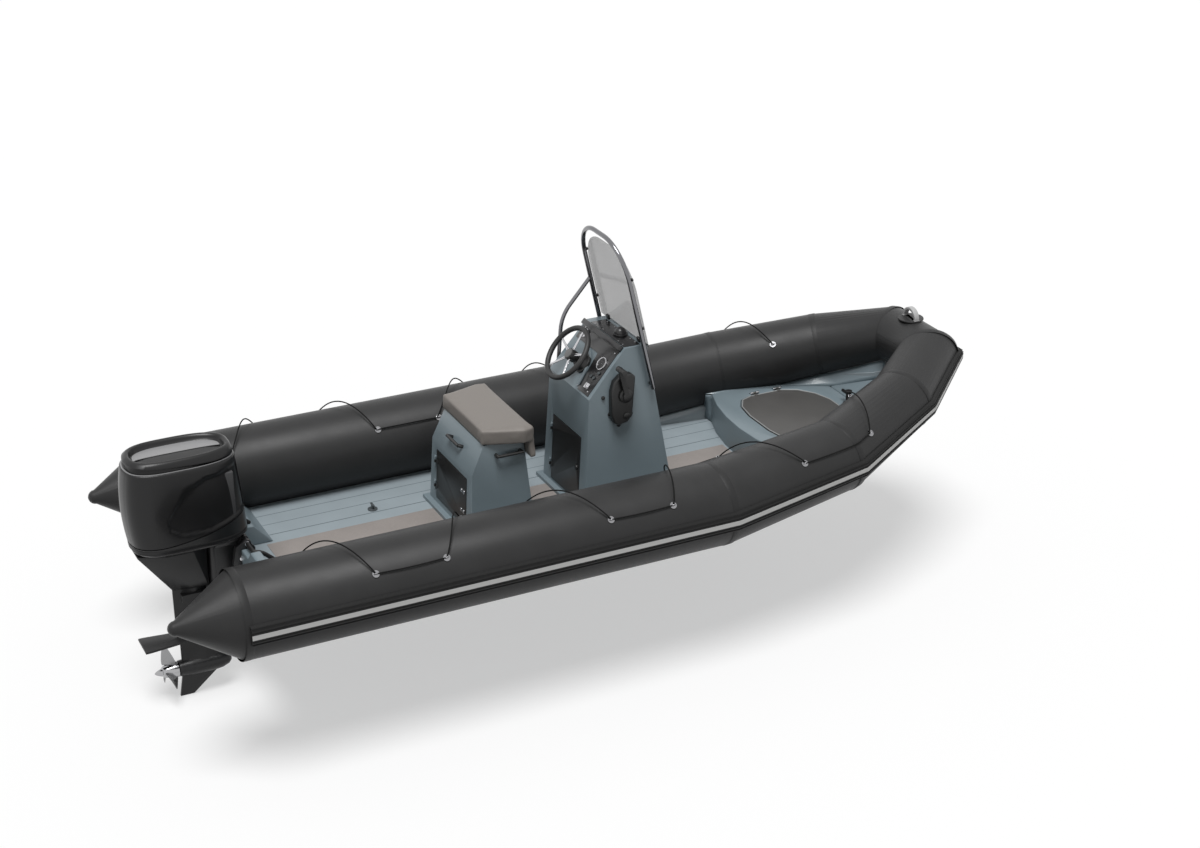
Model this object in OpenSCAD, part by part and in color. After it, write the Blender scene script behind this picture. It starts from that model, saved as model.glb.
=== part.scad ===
// Open inflatable RIB boat with a centre console and one outboard motor.
// Bow towards -Y, stern towards +Y, port +X, starboard -X, Z up from the waterline.

/* [Inflatable tubes] */
// Radius of the side tubes
tube_r = 250; // [220:5:280]
// Distance of each side tube's axis from the centreline
tube_x = 845; // [800:5:900]
// Height of the side tube's axis above the waterline
tube_z = 300; // [280:5:340]
// Tip of the stern cones, aft of midships
cone_tip_y = 2650; // [2550:10:2750]
// Length of a stern cone
cone_len = 370; // [300:10:450]
// Radius of the rounded cap on a cone's tip
cone_cap_r = 42; // [30:1:60]

/* [Rubbing strake] */
// Half height of the rubbing strake
strake_h = 58; // [40:1:70]
// How far the strake stands out of the tube
strake_t = 26; // [15:1:35]
// Half height of the strake's centre stripe
stripe_h = 12; // [8:1:18]

/* [Hull] */
// Aft face of the transom
transom_y = 2030; // [2000:5:2060]
// Thickness of the transom
transom_t = 60; // [45:1:75]
// Height of the transom's top where the motor clamps
transom_z = 280; // [270:5:285]
// Height of the deck surface
deck_z = 100; // [90:1:110]
// Thickness of the deck panel
deck_t = 15; // [10:1:20]
// Depth of the keel below the waterline
keel_z = -255; // [-290:5:-220]

/* [Console] */
// Aft face of the console at the deck
console_y = -30; // [-60:5:0]
// Fore and aft length of the console at the deck
console_len = 597; // [560:5:620]
// Half width of the console at the deck
console_w = 298; // [285:1:310]
// Half width of the console at its top
console_top_w = 258; // [250:1:270]
// Height of the console's top edge
console_top_z = 1110; // [1090:5:1130]
// Wall thickness of the console and seat mouldings
wall = 12; // [8:1:16]

/* [Seat] */
// Aft face of the seat box at the deck
seat_y = 715; // [690:5:740]
// Fore and aft length of the seat box at the deck
seat_len = 405; // [380:5:430]
// Half width of the seat box at the deck
seat_w = 322; // [300:1:340]
// Height of the seat box's top
seat_z = 690; // [670:5:720]
// Thickness of the seat cushion
cushion_t = 88; // [70:1:100]

/* [Steering] */
// Radius of the steering wheel to the middle of its rim
wheel_r = 165; // [150:1:180]
// Angle of the steering column above the horizontal
column_angle = 40.5; // [38:0.5:43]
// Distance of the wheel's centre from the dash
column_len = 139; // [125:1:150]

/* [Bow locker] */
// Aft end of the bow locker on the centreline
locker_y = -1250; // [-1290:5:-1210]
// Height of the locker's top
locker_z = 300; // [280:5:320]

/* [Outboard motor] */
// Half width of the motor's top cowl
cowl_w = 200; // [185:1:205]
// Length of the motor's top cowl
cowl_len = 700; // [660:5:720]
// Height of the top cowl's lower edge
cowl_z = 400; // [390:5:420]
// Height of the top cowl
cowl_h = 520; // [490:5:550]
// Depth of the ventilation plate below the waterline
plate_z = -265; // [-290:5:-240]
// Radius of the propeller
prop_r = 150; // [130:5:165]

/* [Hidden] */

// Running gap between parts on different bodies, and the gap where curved skins meet
gap = 0.3;
tube_sides = 48;

// ---- Tube route: [x, y, z, radius] at each welded joint, stern to bow ----
cone_base_y = cone_tip_y - cone_len;
kink = [
    [tube_x, -600, tube_z, tube_r],
    [tube_x - 91, -1490, tube_z + 83, tube_r - 23],
    [tube_x - 348, -2120, tube_z + 219, tube_r - 46],
    [tube_x - 647, -2506, tube_z + 332, tube_r - 69]];
stern_base = [tube_x, cone_base_y, tube_z, tube_r];
cap_steps = [10, 30, 50, 70, 90];
// The cap is a ball of cone_cap_r; the cone runs from it to the tube's end.
cone_route = concat(
    [for (a = cap_steps) [tube_x, cone_tip_y - cone_cap_r * (1 - cos(a)), tube_z, cone_cap_r * sin(a)]],
    [stern_base]);
side_route = concat([stern_base], [for (i = [0:2]) kink[i]]);
bow_half = [kink[2], kink[3]];
bow_route = concat(bow_half, [for (i = [1:-1:0]) [-bow_half[i].x, bow_half[i].y, bow_half[i].z,
    bow_half[i][3]]]);

function centre(row) = [row[0], row[1], row[2]];
function unit(v) = v / norm(v);
function heading(route, i) =
    unit((i > 0 ? unit(centre(route[i]) - centre(route[i - 1])) : [0, 0, 0])
       + (i < len(route) - 1 ? unit(centre(route[i + 1]) - centre(route[i])) : [0, 0, 0]));
// Heading at a joint that two routes share
kink2_heading = unit(unit(centre(kink[2]) - centre(kink[1])) + unit(centre(kink[3]) - centre(kink[2])));
function outward(h) = unit(cross([0, 0, 1], h));
// Stretch of a mitred ring where the route turns in plan
function stretch(route, i, h) =
    i > 0 ? 1 / (outward(h) * outward(unit(centre(route[i]) - centre(route[i - 1]))))
          : 1 / (outward(h) * outward(unit(centre(route[1]) - centre(route[0]))));
// One ring of a swept section; section holds [angle, radius added to the tube's radius]
function ring(row, h, k, section) =
    let (o = outward(h), u = cross(h, o))
    [for (s = section) centre(row) + o * (row[3] + s[1]) * k * cos(s[0]) + u * (row[3] + s[1]) * sin(s[0])];

// Closed sweep through rings of equal size
module sweep(rings) {
    n = len(rings[0]);
    m = len(rings);
    polyhedron(
        points = [for (r = rings) for (p = r) p],
        faces = concat(
            [[for (j = [n - 1:-1:0]) j]],
            [[for (j = [0:n - 1]) (m - 1) * n + j]],
            [for (i = [0:m - 2]) for (j = [0:n - 1])
                let (a = i * n + j, b = i * n + (j + 1) % n) [a, b, a + n]],
            [for (i = [0:m - 2]) for (j = [0:n - 1])
                let (a = i * n + j, b = i * n + (j + 1) % n) [b, b + n, a + n]]),
        convexity = 8);
}

full_section = [for (i = [0:tube_sides - 1]) [i * 360 / tube_sides, 0]];
function end_heading(route, i, last) = i == len(route) - 1 && last ? kink2_heading : heading(route, i);
function short(row, h, d) = [row[0] - h.x * d, row[1] - h.y * d, row[2] - h.z * d, row[3]];
function side_rings(route, section, last) =
    [for (i = [0:len(route) - 1])
        let (h = end_heading(route, i, last), back = i == len(route) - 1 ? gap : 0)
        ring(short(route[i], h, back), h, stretch(route, i, h), section)];
function bow_heading(i) =
    i == 0 ? kink2_heading
    : i == len(bow_route) - 1 ? [kink2_heading.x, -kink2_heading.y, -kink2_heading.z]
    : heading(bow_route, i);
function bow_rings(section) =
    [for (i = [0:len(bow_route) - 1])
        let (h = bow_heading(i)) ring(bow_route[i], h, stretch(bow_route, i, h), section)];

module side_tube() {
    color([0.2, 0.2, 0.2])
        sweep(side_rings(concat(cone_route, [for (i = [0:2]) kink[i]]), full_section, true));
}
module tube_port() { side_tube(); }
module tube_starboard() { mirror([1, 0, 0]) side_tube(); }
module tube_bow() { color([0.2, 0.2, 0.2]) sweep(bow_rings(full_section)); }

// ---- Rubbing strake: a band on the tube's outer side ----
strake_a = asin(strake_h / tube_r);
inner_steps = [-1, -0.5, 0, 0.5, 1];
strake_section = concat(
    [for (s = inner_steps) [s * strake_a, 1]],
    [[strake_a * 0.8, strake_t * 0.8], [strake_a * 0.45, strake_t], [-strake_a * 0.45, strake_t],
     [-strake_a * 0.8, strake_t * 0.8]]);
stripe_a = asin(stripe_h / tube_r);
stripe_section = [[-stripe_a, strake_t + 2 * gap], [stripe_a, strake_t + 2 * gap], [stripe_a, strake_t + 5],
    [-stripe_a, strake_t + 5]];
module side_band(section, colour) { color(colour) sweep(side_rings(side_route, section, true)); }
module strake_port() { side_band(strake_section, [0.12, 0.12, 0.12]); }
module strake_starboard() { mirror([1, 0, 0]) side_band(strake_section, [0.12, 0.12, 0.12]); }
module strake_bow() { color([0.12, 0.12, 0.12]) sweep(bow_rings(strake_section)); }
module strake_stripe() {
    side_band(stripe_section, [0.85, 0.85, 0.85]);
    mirror([1, 0, 0]) side_band(stripe_section, [0.85, 0.85, 0.85]);
    color([0.85, 0.85, 0.85]) sweep(bow_rings(stripe_section));
}

// ---- Hull: stations [y, keel height, chine share, chine height, floor height] ----
floor_z = deck_z - deck_t;
// Place on the tube's route at a given y, from the stern's end to the stem
function row_at(y) =
    y >= kink[0].y ? [tube_x, y, tube_z, tube_r]
    : let (i = y >= kink[1].y ? 0 : y >= kink[2].y ? 1 : 2,
           t = (kink[i].y - y) / (kink[i].y - kink[i + 1].y))
      kink[i] * (1 - t) + kink[i + 1] * t;
hull_station = [
    [transom_y, keel_z, 0.92, -45, floor_z],
    [800, keel_z, 0.92, -45, floor_z],
    [kink[0].y, keel_z, 0.92, -35, floor_z],
    [-1050, keel_z + 5, 0.91, -5, floor_z],
    [kink[1].y, keel_z + 35, 0.89, 60, floor_z],
    [-1810, keel_z + 95, 0.86, 135, floor_z],
    [kink[2].y, keel_z + 220, 0.82, 220, floor_z],
    [-2330, keel_z + 420, 0.74, 335, 320],
    [-2445, keel_z + 620, 0.6, 420, 435]];
contact_steps = [-113, -118, -123, -128];
function hull_ring(s) =
    let (row = row_at(s[0]),
         k = s[0] < kink[1].y ? (s[0] < kink[2].y ? 1.6 : 1.09) : 1,
         rr = row[3] + 1 + (k - 1) * 20,
         c = [for (a = contact_steps) [row[0] + rr * k * cos(a), s[0], row[2] + rr * sin(a)]],
         last = c[len(c) - 1],
         cx = c[0].x * s[2])
    concat(
        [[0, s[0], s[1]], [cx * 0.5, s[0], s[1] + (s[3] - s[1]) * 0.44], [cx, s[0], s[3]],
         [c[0].x - 12, s[0], s[3] + (c[0].z - s[3]) * 0.25]],
        c,
        [[last.x - 10, s[0], last.z], [last.x - 12, s[0], min(s[4], last.z - 1)],
            [0, s[0], min(s[4], last.z - 1)]]);
function both_sides(r) = concat(r, [for (i = [len(r) - 2:-1:1]) [-r[i].x, r[i].y, r[i].z]]);
module vee_hull() { color([0.55, 0.6, 0.62]) sweep([for (s = hull_station) both_sides(hull_ring(s))]); }

// ---- Deck ----
deck_edge = min(tube_x - sqrt(pow(tube_r + 1, 2) - pow(tube_z - deck_z, 2)) - 17,
    tube_x - (tube_r + 1) * cos(180 + contact_steps[3]) - 14);
strip_w = 190;
strip_depth = 3;
module deck() {
    color([0.53, 0.57, 0.6]) translate([0, 0, floor_z]) linear_extrude(deck_t)
        difference() {
            polygon([[-deck_edge, transom_y - transom_t], [deck_edge, transom_y - transom_t],
                [deck_edge, kink[0].y], [deck_edge - 95, locker_aft_y], [-deck_edge + 95, locker_aft_y],
                [-deck_edge, kink[0].y]]);
            polygon(locker_plan);
        }
}
// Raised mat down the middle of the deck
module deck_strip() {
    color([0.55, 0.52, 0.5]) translate([0, 0, deck_z]) linear_extrude(strip_depth) {
        translate([-strip_w, seat_y + foot_w + 2]) square([2 * strip_w, 1790 - seat_y - foot_w - 2]);
        translate([-strip_w, console_y + foot_w + 2]) square([2 * strip_w,
            seat_y - seat_len - console_y - 2 * foot_w - 4]);
        translate([-strip_w, locker_y + 6])
            square([2 * strip_w, console_y - console_len - foot_w - locker_y - 8]);
    }
}
// Coaming inside the transom with the motor's splash well
well_w = 215;
well_y = 1800;
well_z = 235;
// Room left for the side tube's curved skin
module tube_clear() {
    translate([tube_x, cone_tip_y, tube_z]) rotate([90, 0, 0]) cylinder(r = tube_r + 0.6, h = 1500, $fn = 96);
}
module stern_moulding() {
    color([0.45, 0.5, 0.53]) for (s = [0, 1]) mirror([s, 0, 0]) difference() {
        translate([well_w, 0, deck_z]) rotate([90, 0, 90]) linear_extrude(deck_edge - well_w - 2)
            polygon([[transom_y - transom_t, 0], [well_y - 60, 0], [well_y - 20, 45],
                [well_y + 50, well_z - deck_z - 10], [transom_y - transom_t, well_z - deck_z]]);
        tube_clear();
    }
}

// ---- Transom: closes the stern between the tubes ----
transom_side = 65;
module transom() {
    color([0.5, 0.55, 0.58]) difference() {
        translate([0, transom_y, 0]) rotate([90, 0, 0]) linear_extrude(transom_t)
            polygon([[-deck_edge, floor_z], [deck_edge, floor_z], [deck_edge, transom_z + transom_side],
                [well_w + 90, transom_z + transom_side], [well_w + 30, transom_z], [-well_w - 30, transom_z],
                [-well_w - 90, transom_z + transom_side], [-deck_edge, transom_z + transom_side]]);
        for (s = [0, 1]) mirror([s, 0, 0]) tube_clear();
    }
}

// ---- Fittings on the tubes ----
// Eyelets of the lifeline: [y, 1 outboard or -1 inboard]
eyelet = [[1840, -1], [1565, 1], [1160, 1], [910, -1], [510, -1], [173, 1], [-220, 1], [-390, -1],
    [-770, -1], [-1120, 1], [-1600, 1], [-1850, -1]];
eyelet_a = 40;
eyelet_r = 20;
// Direction of the tube's run at a given y
function tube_run(y) = centre(row_at(y - 1)) - centre(row_at(y + 1));
module eyelet_piece() {
    cylinder(r = eyelet_r, h = 5, $fn = 32);
    translate([0, 0, 5]) rotate([90, 0, 90]) rotate_extrude(angle = 180, $fn = 32) translate([11, 0])
        circle(r = 3, $fn = 16);
}
module lifeline_eyelets() {
    color([0.75, 0.75, 0.77]) for (side = [0, 1]) mirror([side, 0, 0]) for (e = eyelet) {
        row = row_at(e[0]);
        d = tube_run(e[0]);
        plan = norm([d.x, d.y]);
        tilt = e[1] > 0 ? 90 - eyelet_a : eyelet_a - 90;
        translate([row[0], row[1], row[2]]) rotate([0, 0, atan2(d.x, -d.y)]) rotate([-atan2(d.z, plan), 0, 0])
            rotate([0, tilt, 0]) translate([0, 0, row[3] + (e[0] < kink[0].y ? 0.8 : gap)])
                eyelet_piece();
    }
}
// Towing handle on top of the bow tube
handle_y = kink[3].y;
handle_z = kink[3].z + kink[3][3];
module bow_handle() {
    color([0.8, 0.8, 0.8]) {
        translate([0, handle_y, handle_z - 1.2]) linear_extrude(8) circle(r = 82, $fn = 48);
        translate([0, handle_y, handle_z + 6.8]) rotate([90, 0, 0]) rotate_extrude(angle = 180, $fn = 40)
            translate([62, 0]) square([18, 34], center = true);
    }
}

// ---- Bow locker: a bin with a hinged lid ----
locker_aft_y = locker_y - 100;
locker_plan = concat(
    [for (a = [-30:10:30]) [sin(a) * 1060, locker_y - 1060 * (1 - cos(a)) * 0.72]],
    [[530, -1490], [432, -1880], [300, -2110], [-300, -2110], [-432, -1880], [-530, -1490]]);
lid_w = 392;
lid_half = [[120, -1400], [270, -1425], [360, -1480], [lid_w, -1560], [lid_w, -1790], [340, -1890],
    [240, -1965], [120, -2000]];
lid_plan_in = concat(lid_half, [for (i = [len(lid_half) - 1:-1:0]) [-lid_half[i].x, lid_half[i].y]]);
lid_t = 14;
locker_wall = 16;
module locker_bin_plan() { offset(delta = -locker_wall) polygon(lid_plan_in); }
module bow_locker() {
    color([0.42, 0.48, 0.52]) difference() {
        translate([0, 0, floor_z]) linear_extrude(locker_z - floor_z) polygon(locker_plan);
        translate([0, 0, floor_z + locker_wall]) linear_extrude(locker_z) locker_bin_plan();
        translate([0, 0, locker_z - lid_t - 2]) linear_extrude(lid_t + 10) offset(delta = 6)
            polygon(lid_plan_in);
    }
}
module bow_deck() {
    color([0.42, 0.48, 0.52]) hull() {
        translate([-285, -2148, 292]) cube([570, 37.7, 10]);
        translate([-66, -2380, 385]) cube([132, 20, 10]);
    }
}
hinge_y = [-1600, -1770];
hinge_r = 7;
hinge_len = 60;
hinge_z = locker_z + hinge_r + 2;
hinge_x = lid_w + 12;
module locker_lid() {
    color([0.32, 0.31, 0.3]) {
        translate([0, 0, locker_z - lid_t]) linear_extrude(lid_t) polygon(lid_plan_in);
        for (y = hinge_y) difference() {
            union() {
                translate([hinge_x - 40, y - hinge_len / 6, locker_z]) cube([40, hinge_len / 3, 4]);
                translate([hinge_x, y + hinge_len / 6, hinge_z]) rotate([90, 0, 0])
                    cylinder(r = hinge_r, h = hinge_len / 3, $fn = 32);
            }
            translate([hinge_x, y + hinge_len, hinge_z]) rotate([90, 0, 0])
                cylinder(r = 3.05, h = 2 * hinge_len, $fn = 32);
        }
    }
}
module locker_hinges() {
    color([0.7, 0.7, 0.72]) for (y = hinge_y) {
        for (s = [-1, 1]) {
            translate([hinge_x, y + s * (hinge_len / 3 + 0.3) + hinge_len / 6, hinge_z]) rotate([90, 0, 0])
                cylinder(r = hinge_r, h = hinge_len / 3, $fn = 32);
            translate([hinge_x, y + s * (hinge_len / 3 + 0.3) - hinge_len / 6, locker_z])
                cube([20, hinge_len / 3, 4]);
            translate([hinge_x - 3, y + s * (hinge_len / 3 + 0.3) - hinge_len / 6, locker_z])
                cube([6, hinge_len / 3, hinge_z - locker_z]);
        }
        translate([hinge_x, y + hinge_len / 2, hinge_z]) rotate([90, 0, 0])
            cylinder(r = 3, h = hinge_len, $fn = 32);
    }
}
module locker_latch() {
    color([0.75, 0.75, 0.77]) {
        translate([-300, -1700, locker_z]) cylinder(r = 26, h = 5, $fn = 40);
        translate([-300, -1700, locker_z + 5]) rotate([90, 0, 0]) rotate_extrude(angle = 180, $fn = 32)
            translate([16, 0]) circle(r = 3.5, $fn = 16);
    }
}
module bow_cleat() {
    color([0.08, 0.08, 0.08]) translate([0, -2060, locker_z]) {
        cylinder(r = 34, h = 8, $fn = 40);
        translate([0, 0, 8]) cylinder(r = 17, h = 78, $fn = 32);
        translate([-70, 0, 70]) rotate([0, 90, 0]) cylinder(r = 11, h = 140, $fn = 32);
        translate([0, 0, 86]) cylinder(r = 22, h = 8, $fn = 32);
    }
}
// Towing eye on the stem and lifting eyes on the transom
eye_r = 16;
bow_eye_share = 0.55;
bow_eye_y = kink[2].y + (hull_station[7][0] - kink[2].y) * bow_eye_share;
bow_eye_z = hull_station[6][1] + (hull_station[7][1] - hull_station[6][1]) * bow_eye_share;
stem_slope = atan2(hull_station[7][1] - hull_station[6][1], kink[2].y - hull_station[7][0]);
module bow_eye() {
    color([0.75, 0.75, 0.77]) translate([0, bow_eye_y, bow_eye_z]) rotate([180 - stem_slope, 0, 0])
        difference() {
        union() {
            translate([-7, -36, gap]) cube([14, 72, 14]);
            translate([-7, 0, 24]) rotate([0, 90, 0]) cylinder(r = 24, h = 14, $fn = 48);
            translate([-7, -24, gap]) cube([14, 48, 24]);
        }
        translate([-20, 0, 24]) rotate([0, 90, 0]) cylinder(r = eye_r, h = 40, $fn = 40);
    }
}
module stern_eyes() {
    color([0.75, 0.75, 0.77]) for (s = [-1, 1]) translate([s * 430, transom_y, 170]) difference() {
        union() {
            translate([-24, 0, -36]) cube([48, 6, 72]);
            translate([-26, 6, -6]) cube([52, 42, 12]);
        }
        translate([0, 26, -6.5]) cylinder(r = 13, h = 13, $fn = 40);
    }
}
// Flush fittings in the deck aft of and beside the seat
fitting_place = [[150, 1080], [150, 238]];
module deck_fittings() {
    color([0.35, 0.4, 0.42]) for (p = fitting_place) translate([p.x + strip_w, p.y, deck_z]) {
        cylinder(r = 30, h = 6, $fn = 40);
        translate([0, 0, 6]) cylinder(r = 9, h = 22, $fn = 32);
        translate([-22, -6, 28]) cube([44, 12, 8]);
    }
}

// ---- Seat: box, door, cushion and handles ----
foot_w = 34;
seat_ridge_z = 517;
seat_top_y = seat_y - 100;
seat_top_len = 250;
seat_top_w = seat_w - 32;
function seat_profile(d) = [[seat_y - d, deck_z + d], [seat_y - 20 - d, seat_ridge_z],
    [seat_top_y - d, seat_z - d],
    [seat_top_y - seat_top_len + d, seat_z - d], [seat_y - seat_len + d, deck_z + d]];
module tapered(profile, w0, w1, z0, z1) {
    intersection() {
        rotate([90, 0, 90]) translate([0, 0, -2 * w0]) linear_extrude(4 * w0) polygon(profile);
        rotate([90, 0, 0]) translate([0, 0, -3000]) linear_extrude(6000)
            polygon([[-w0, z0], [w0, z0], [w1, z1], [-w1, z1]]);
    }
}
seat_door_z = [deck_z + 55, seat_ridge_z - 50];
seat_door_w = 225;
door_t = 14;
module seat_box() {
    color([0.45, 0.52, 0.56]) difference() {
        union() {
            tapered(seat_profile(0), seat_w, seat_top_w, deck_z, seat_z);
            translate([-seat_w - foot_w, seat_y - seat_len - foot_w, deck_z])
                cube([2 * seat_w + 2 * foot_w, seat_len + 2 * foot_w, 22]);
        }
        tapered(seat_profile(wall), seat_w - wall, seat_top_w - wall, deck_z, seat_z);
        translate([-seat_door_w - 3, seat_y - 45, seat_door_z[0] - 3])
            cube([2 * seat_door_w + 6, 100, seat_door_z[1] - seat_door_z[0] + 6]);
    }
    color([0.45, 0.52, 0.56]) at_seat_door() door_knuckles(seat_door_h);
}
// The door's hinge is on its port edge, in the plane of the aft face
seat_lean = atan(20 / (seat_ridge_z - deck_z));
seat_door_y = seat_y - 20 * (seat_door_z[0] - deck_z) / (seat_ridge_z - deck_z);
// A door in its own frame: x to port from the hinge edge, y out of the face, z up the face
leaf_x = 9;
leaf_y = 8;
leaf_r = 5.5;
leaf_len = 60;
module leaf_pin_axis(z, len, r) { translate([leaf_x, leaf_y, z]) cylinder(r = r, h = len, $fn = 32); }
module hinged_door(w, h) {
    translate([-2 * w, 2 - door_t, 0]) cube([2 * w, door_t, h]);
    for (z = [h * 0.15, h * 0.85 - leaf_len]) difference() {
        union() {
            translate([-26, 2, z + leaf_len / 3]) cube([26 + leaf_x, 3, leaf_len / 3]);
            leaf_pin_axis(z + leaf_len / 3, leaf_len / 3, leaf_r);
        }
        leaf_pin_axis(z, leaf_len, 3.05);
    }
}
module door_knuckles(h) {
    for (z = [h * 0.15, h * 0.85 - leaf_len]) {
        leaf_pin_axis(z, leaf_len, 3);
        for (zz = [z - gap, z + leaf_len * 2 / 3 + gap]) {
            leaf_pin_axis(zz, leaf_len / 3, leaf_r);
            translate([leaf_x - 2, -1, zz]) cube([24, 4, leaf_len / 3]);
            translate([leaf_x - 2, -1, zz]) cube([4, leaf_y, leaf_len / 3]);
        }
    }
}
module door_latch(w, h) {
    for (z = [h * 0.3, h * 0.7]) for (x = [26, 60]) translate([x - 2 * w, 2 + gap, z]) rotate([-90, 0, 0])
        cylinder(r = 13, h = 6, $fn = 32);
}
module at_seat_door() {
    translate([seat_door_w, seat_door_y, seat_door_z[0]]) rotate([seat_lean, 0, 0]) children();
}
seat_door_h = seat_door_z[1] - seat_door_z[0];
module seat_door() { color([0.08, 0.08, 0.08]) at_seat_door() hinged_door(seat_door_w, seat_door_h); }
module seat_latches() { color([0.55, 0.55, 0.57]) at_seat_door() door_latch(seat_door_w, seat_door_h); }
cushion_aft_w = 300;
cushion_fwd_w = 374;
cushion_fwd_y = 384;
cushion_aft_y = 628;
drop_t = 38;
seat_front_y = seat_top_y - seat_top_len - 11;
module seat_cushion() {
    color([0.5, 0.48, 0.46]) {
        translate([0, 0, seat_z + gap]) linear_extrude(cushion_t)
            polygon([[-cushion_aft_w, cushion_aft_y], [cushion_aft_w, cushion_aft_y],
                [cushion_fwd_w, cushion_fwd_y],
                [cushion_fwd_w - 20, seat_front_y - drop_t], [-cushion_fwd_w + 20, seat_front_y - drop_t],
                [-cushion_fwd_w, cushion_fwd_y]]);
        translate([-cushion_fwd_w + 20, seat_front_y - drop_t, seat_z - 110])
            cube([2 * cushion_fwd_w - 40, drop_t, 120]);
    }
}
module grab(len, lift) {
    for (x = [-len / 2, len / 2]) translate([x, 0, 0]) cylinder(r = 11, h = lift, $fn = 32);
    translate([-len / 2 - 8, 0, lift]) rotate([0, 90, 0]) cylinder(r = 10, h = len + 16, $fn = 32);
}
seat_side_lean = atan((seat_w - seat_top_w) / (seat_z - deck_z));
seat_back_lean = atan((seat_top_y - seat_y + 20) / (seat_z - seat_ridge_z));
module seat_handles() {
    color([0.06, 0.06, 0.06]) {
        for (s = [-1, 1])
            translate([s * (seat_w - (seat_w - seat_top_w) * (620 - deck_z) / (seat_z - deck_z) + 0.5),
                (seat_top_y + seat_y - 20) / 2 - 190, 620])
            rotate([0, s * (90 - seat_side_lean), 0]) rotate([0, 0, 90]) grab(150, 34);
        translate([0, (seat_y - 20 + seat_top_y) / 2 + 0.4, (seat_ridge_z + seat_z) / 2 + 0.2])
            rotate([-90 - seat_back_lean, 0, 0])
            grab(150, 34);
    }
}

// ---- Console ----
dash_low = [console_y - 40, 830];
dash_dir = [-cos(90 - column_angle), sin(90 - column_angle)];
dash_len = (console_top_z - dash_low[1]) / dash_dir[1];
dash_top = dash_low + dash_dir * dash_len;
console_fwd_y = console_y - console_len;
console_top_len = 142;
function console_profile(d) = [[console_y - d, deck_z], [dash_low[0] - d, dash_low[1] - d * 0.4],
    dash_top - [d * 0.6, d * 1.1], [dash_top[0] - console_top_len + d, console_top_z - d * 1.1],
        [console_fwd_y + d, deck_z]];
console_door_z = [deck_z + 40, 560];
console_door_w = 190;
module console_body() {
    color([0.4, 0.46, 0.5]) difference() {
        union() {
            tapered(console_profile(0), console_w, console_top_w, deck_z, console_top_z);
            translate([-console_w - foot_w, console_fwd_y - foot_w, deck_z])
                cube([2 * (console_w + foot_w), console_len + 2 * foot_w, 22]);
        }
        tapered(console_profile(wall), console_w - wall, console_top_w - wall, deck_z, console_top_z);
        translate([-console_door_w - 3, console_y - 60, console_door_z[0] - 3])
            cube([2 * console_door_w + 6, 100, console_door_z[1] - console_door_z[0] + 6]);
    }
    color([0.4, 0.46, 0.5]) at_console_door() door_knuckles(console_door_h);
}
console_back_lean = atan(40 / (830 - deck_z));
console_door_y = console_y - 40 * (console_door_z[0] - deck_z) / (830 - deck_z);
module at_console_door() {
    translate([console_door_w, console_door_y, console_door_z[0]]) rotate([console_back_lean, 0, 0])
        children();
}
console_door_h = console_door_z[1] - console_door_z[0];
module console_door() {
    color([0.06, 0.06, 0.06]) at_console_door() {
        hinged_door(console_door_w, console_door_h);
        translate([40 - 2 * console_door_w, 1, console_door_h * 0.5]) rotate([-90, 0, 0])
            cylinder(r = 17, h = 8, $fn = 32);
    }
}
// Places a child on the dash: x to port, y down the slope, z out of it
module on_dash(x, up) {
    translate([x, dash_low[0], dash_low[1]]) rotate([column_angle - 90, 0, 0]) translate([0, -up, 0])
        children();
}
module dash_panel() {
    color([0.05, 0.05, 0.05]) {
        on_dash(0, 0) translate([0, 0, gap]) linear_extrude(4)
            polygon([[-100, -12], [-238, -12], [-232, -340], [232, -340], [236, -250], [-60, -250]]);
    }
}
module gauges() {
    color([0.7, 0.7, 0.72]) {
        on_dash(-165, 215) translate([0, 0, 4.6]) difference() {
            cylinder(r = 42, h = 9, $fn = 48);
            translate([0, 0, 4]) cylinder(r = 35, h = 9, $fn = 48);
        }
        on_dash(-170, 60) translate([-22, -18, 4.6]) cube([44, 36, 5]);
        on_dash(165, 300) translate([0, 0, 4.6]) cylinder(r = 28, h = 8, $fn = 48);
    }
}
module compass() {
    color([0.05, 0.05, 0.05]) translate([-60, dash_top[0] - 70, console_top_z + gap]) {
        cylinder(r = 45, h = 14, $fn = 48);
        intersection() {
            translate([0, 0, 14]) sphere(r = 38, $fn = 48);
            translate([-60, -60, 14]) cube([120, 120, 60]);
        }
    }
}
wheel_up = 150;
bezel_h = 60;
module helm_bezel() {
    color([0.06, 0.06, 0.06]) on_dash(0, wheel_up) translate([0, 0, gap]) {
        cylinder(r = 62, h = 14, $fn = 48);
        translate([0, 0, 14]) cylinder(r1 = 55, r2 = 34, h = bezel_h - 14, $fn = 48);
        cylinder(r = 11, h = column_len - 30, $fn = 32);
    }
}
rim_r = 14;
module steering_wheel() {
    color([0.05, 0.05, 0.05]) on_dash(0, wheel_up) {
        translate([0, 0, column_len]) rotate_extrude($fn = 96) translate([wheel_r, 0])
            circle(r = rim_r, $fn = 24);
        difference() {
            translate([0, 0, column_len - 60]) cylinder(r = 36, h = 52, $fn = 48);
            translate([0, 0, column_len - 61]) cylinder(r = 11.05, h = 31.5, $fn = 32);
        }
        for (i = [0:4]) rotate([0, 0, 90 + 72 * i]) translate([20, 0, column_len - 24]) rotate([0, 83, 0])
            cylinder(r = 5.5, h = wheel_r - 26, $fn = 24);
    }
}
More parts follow.
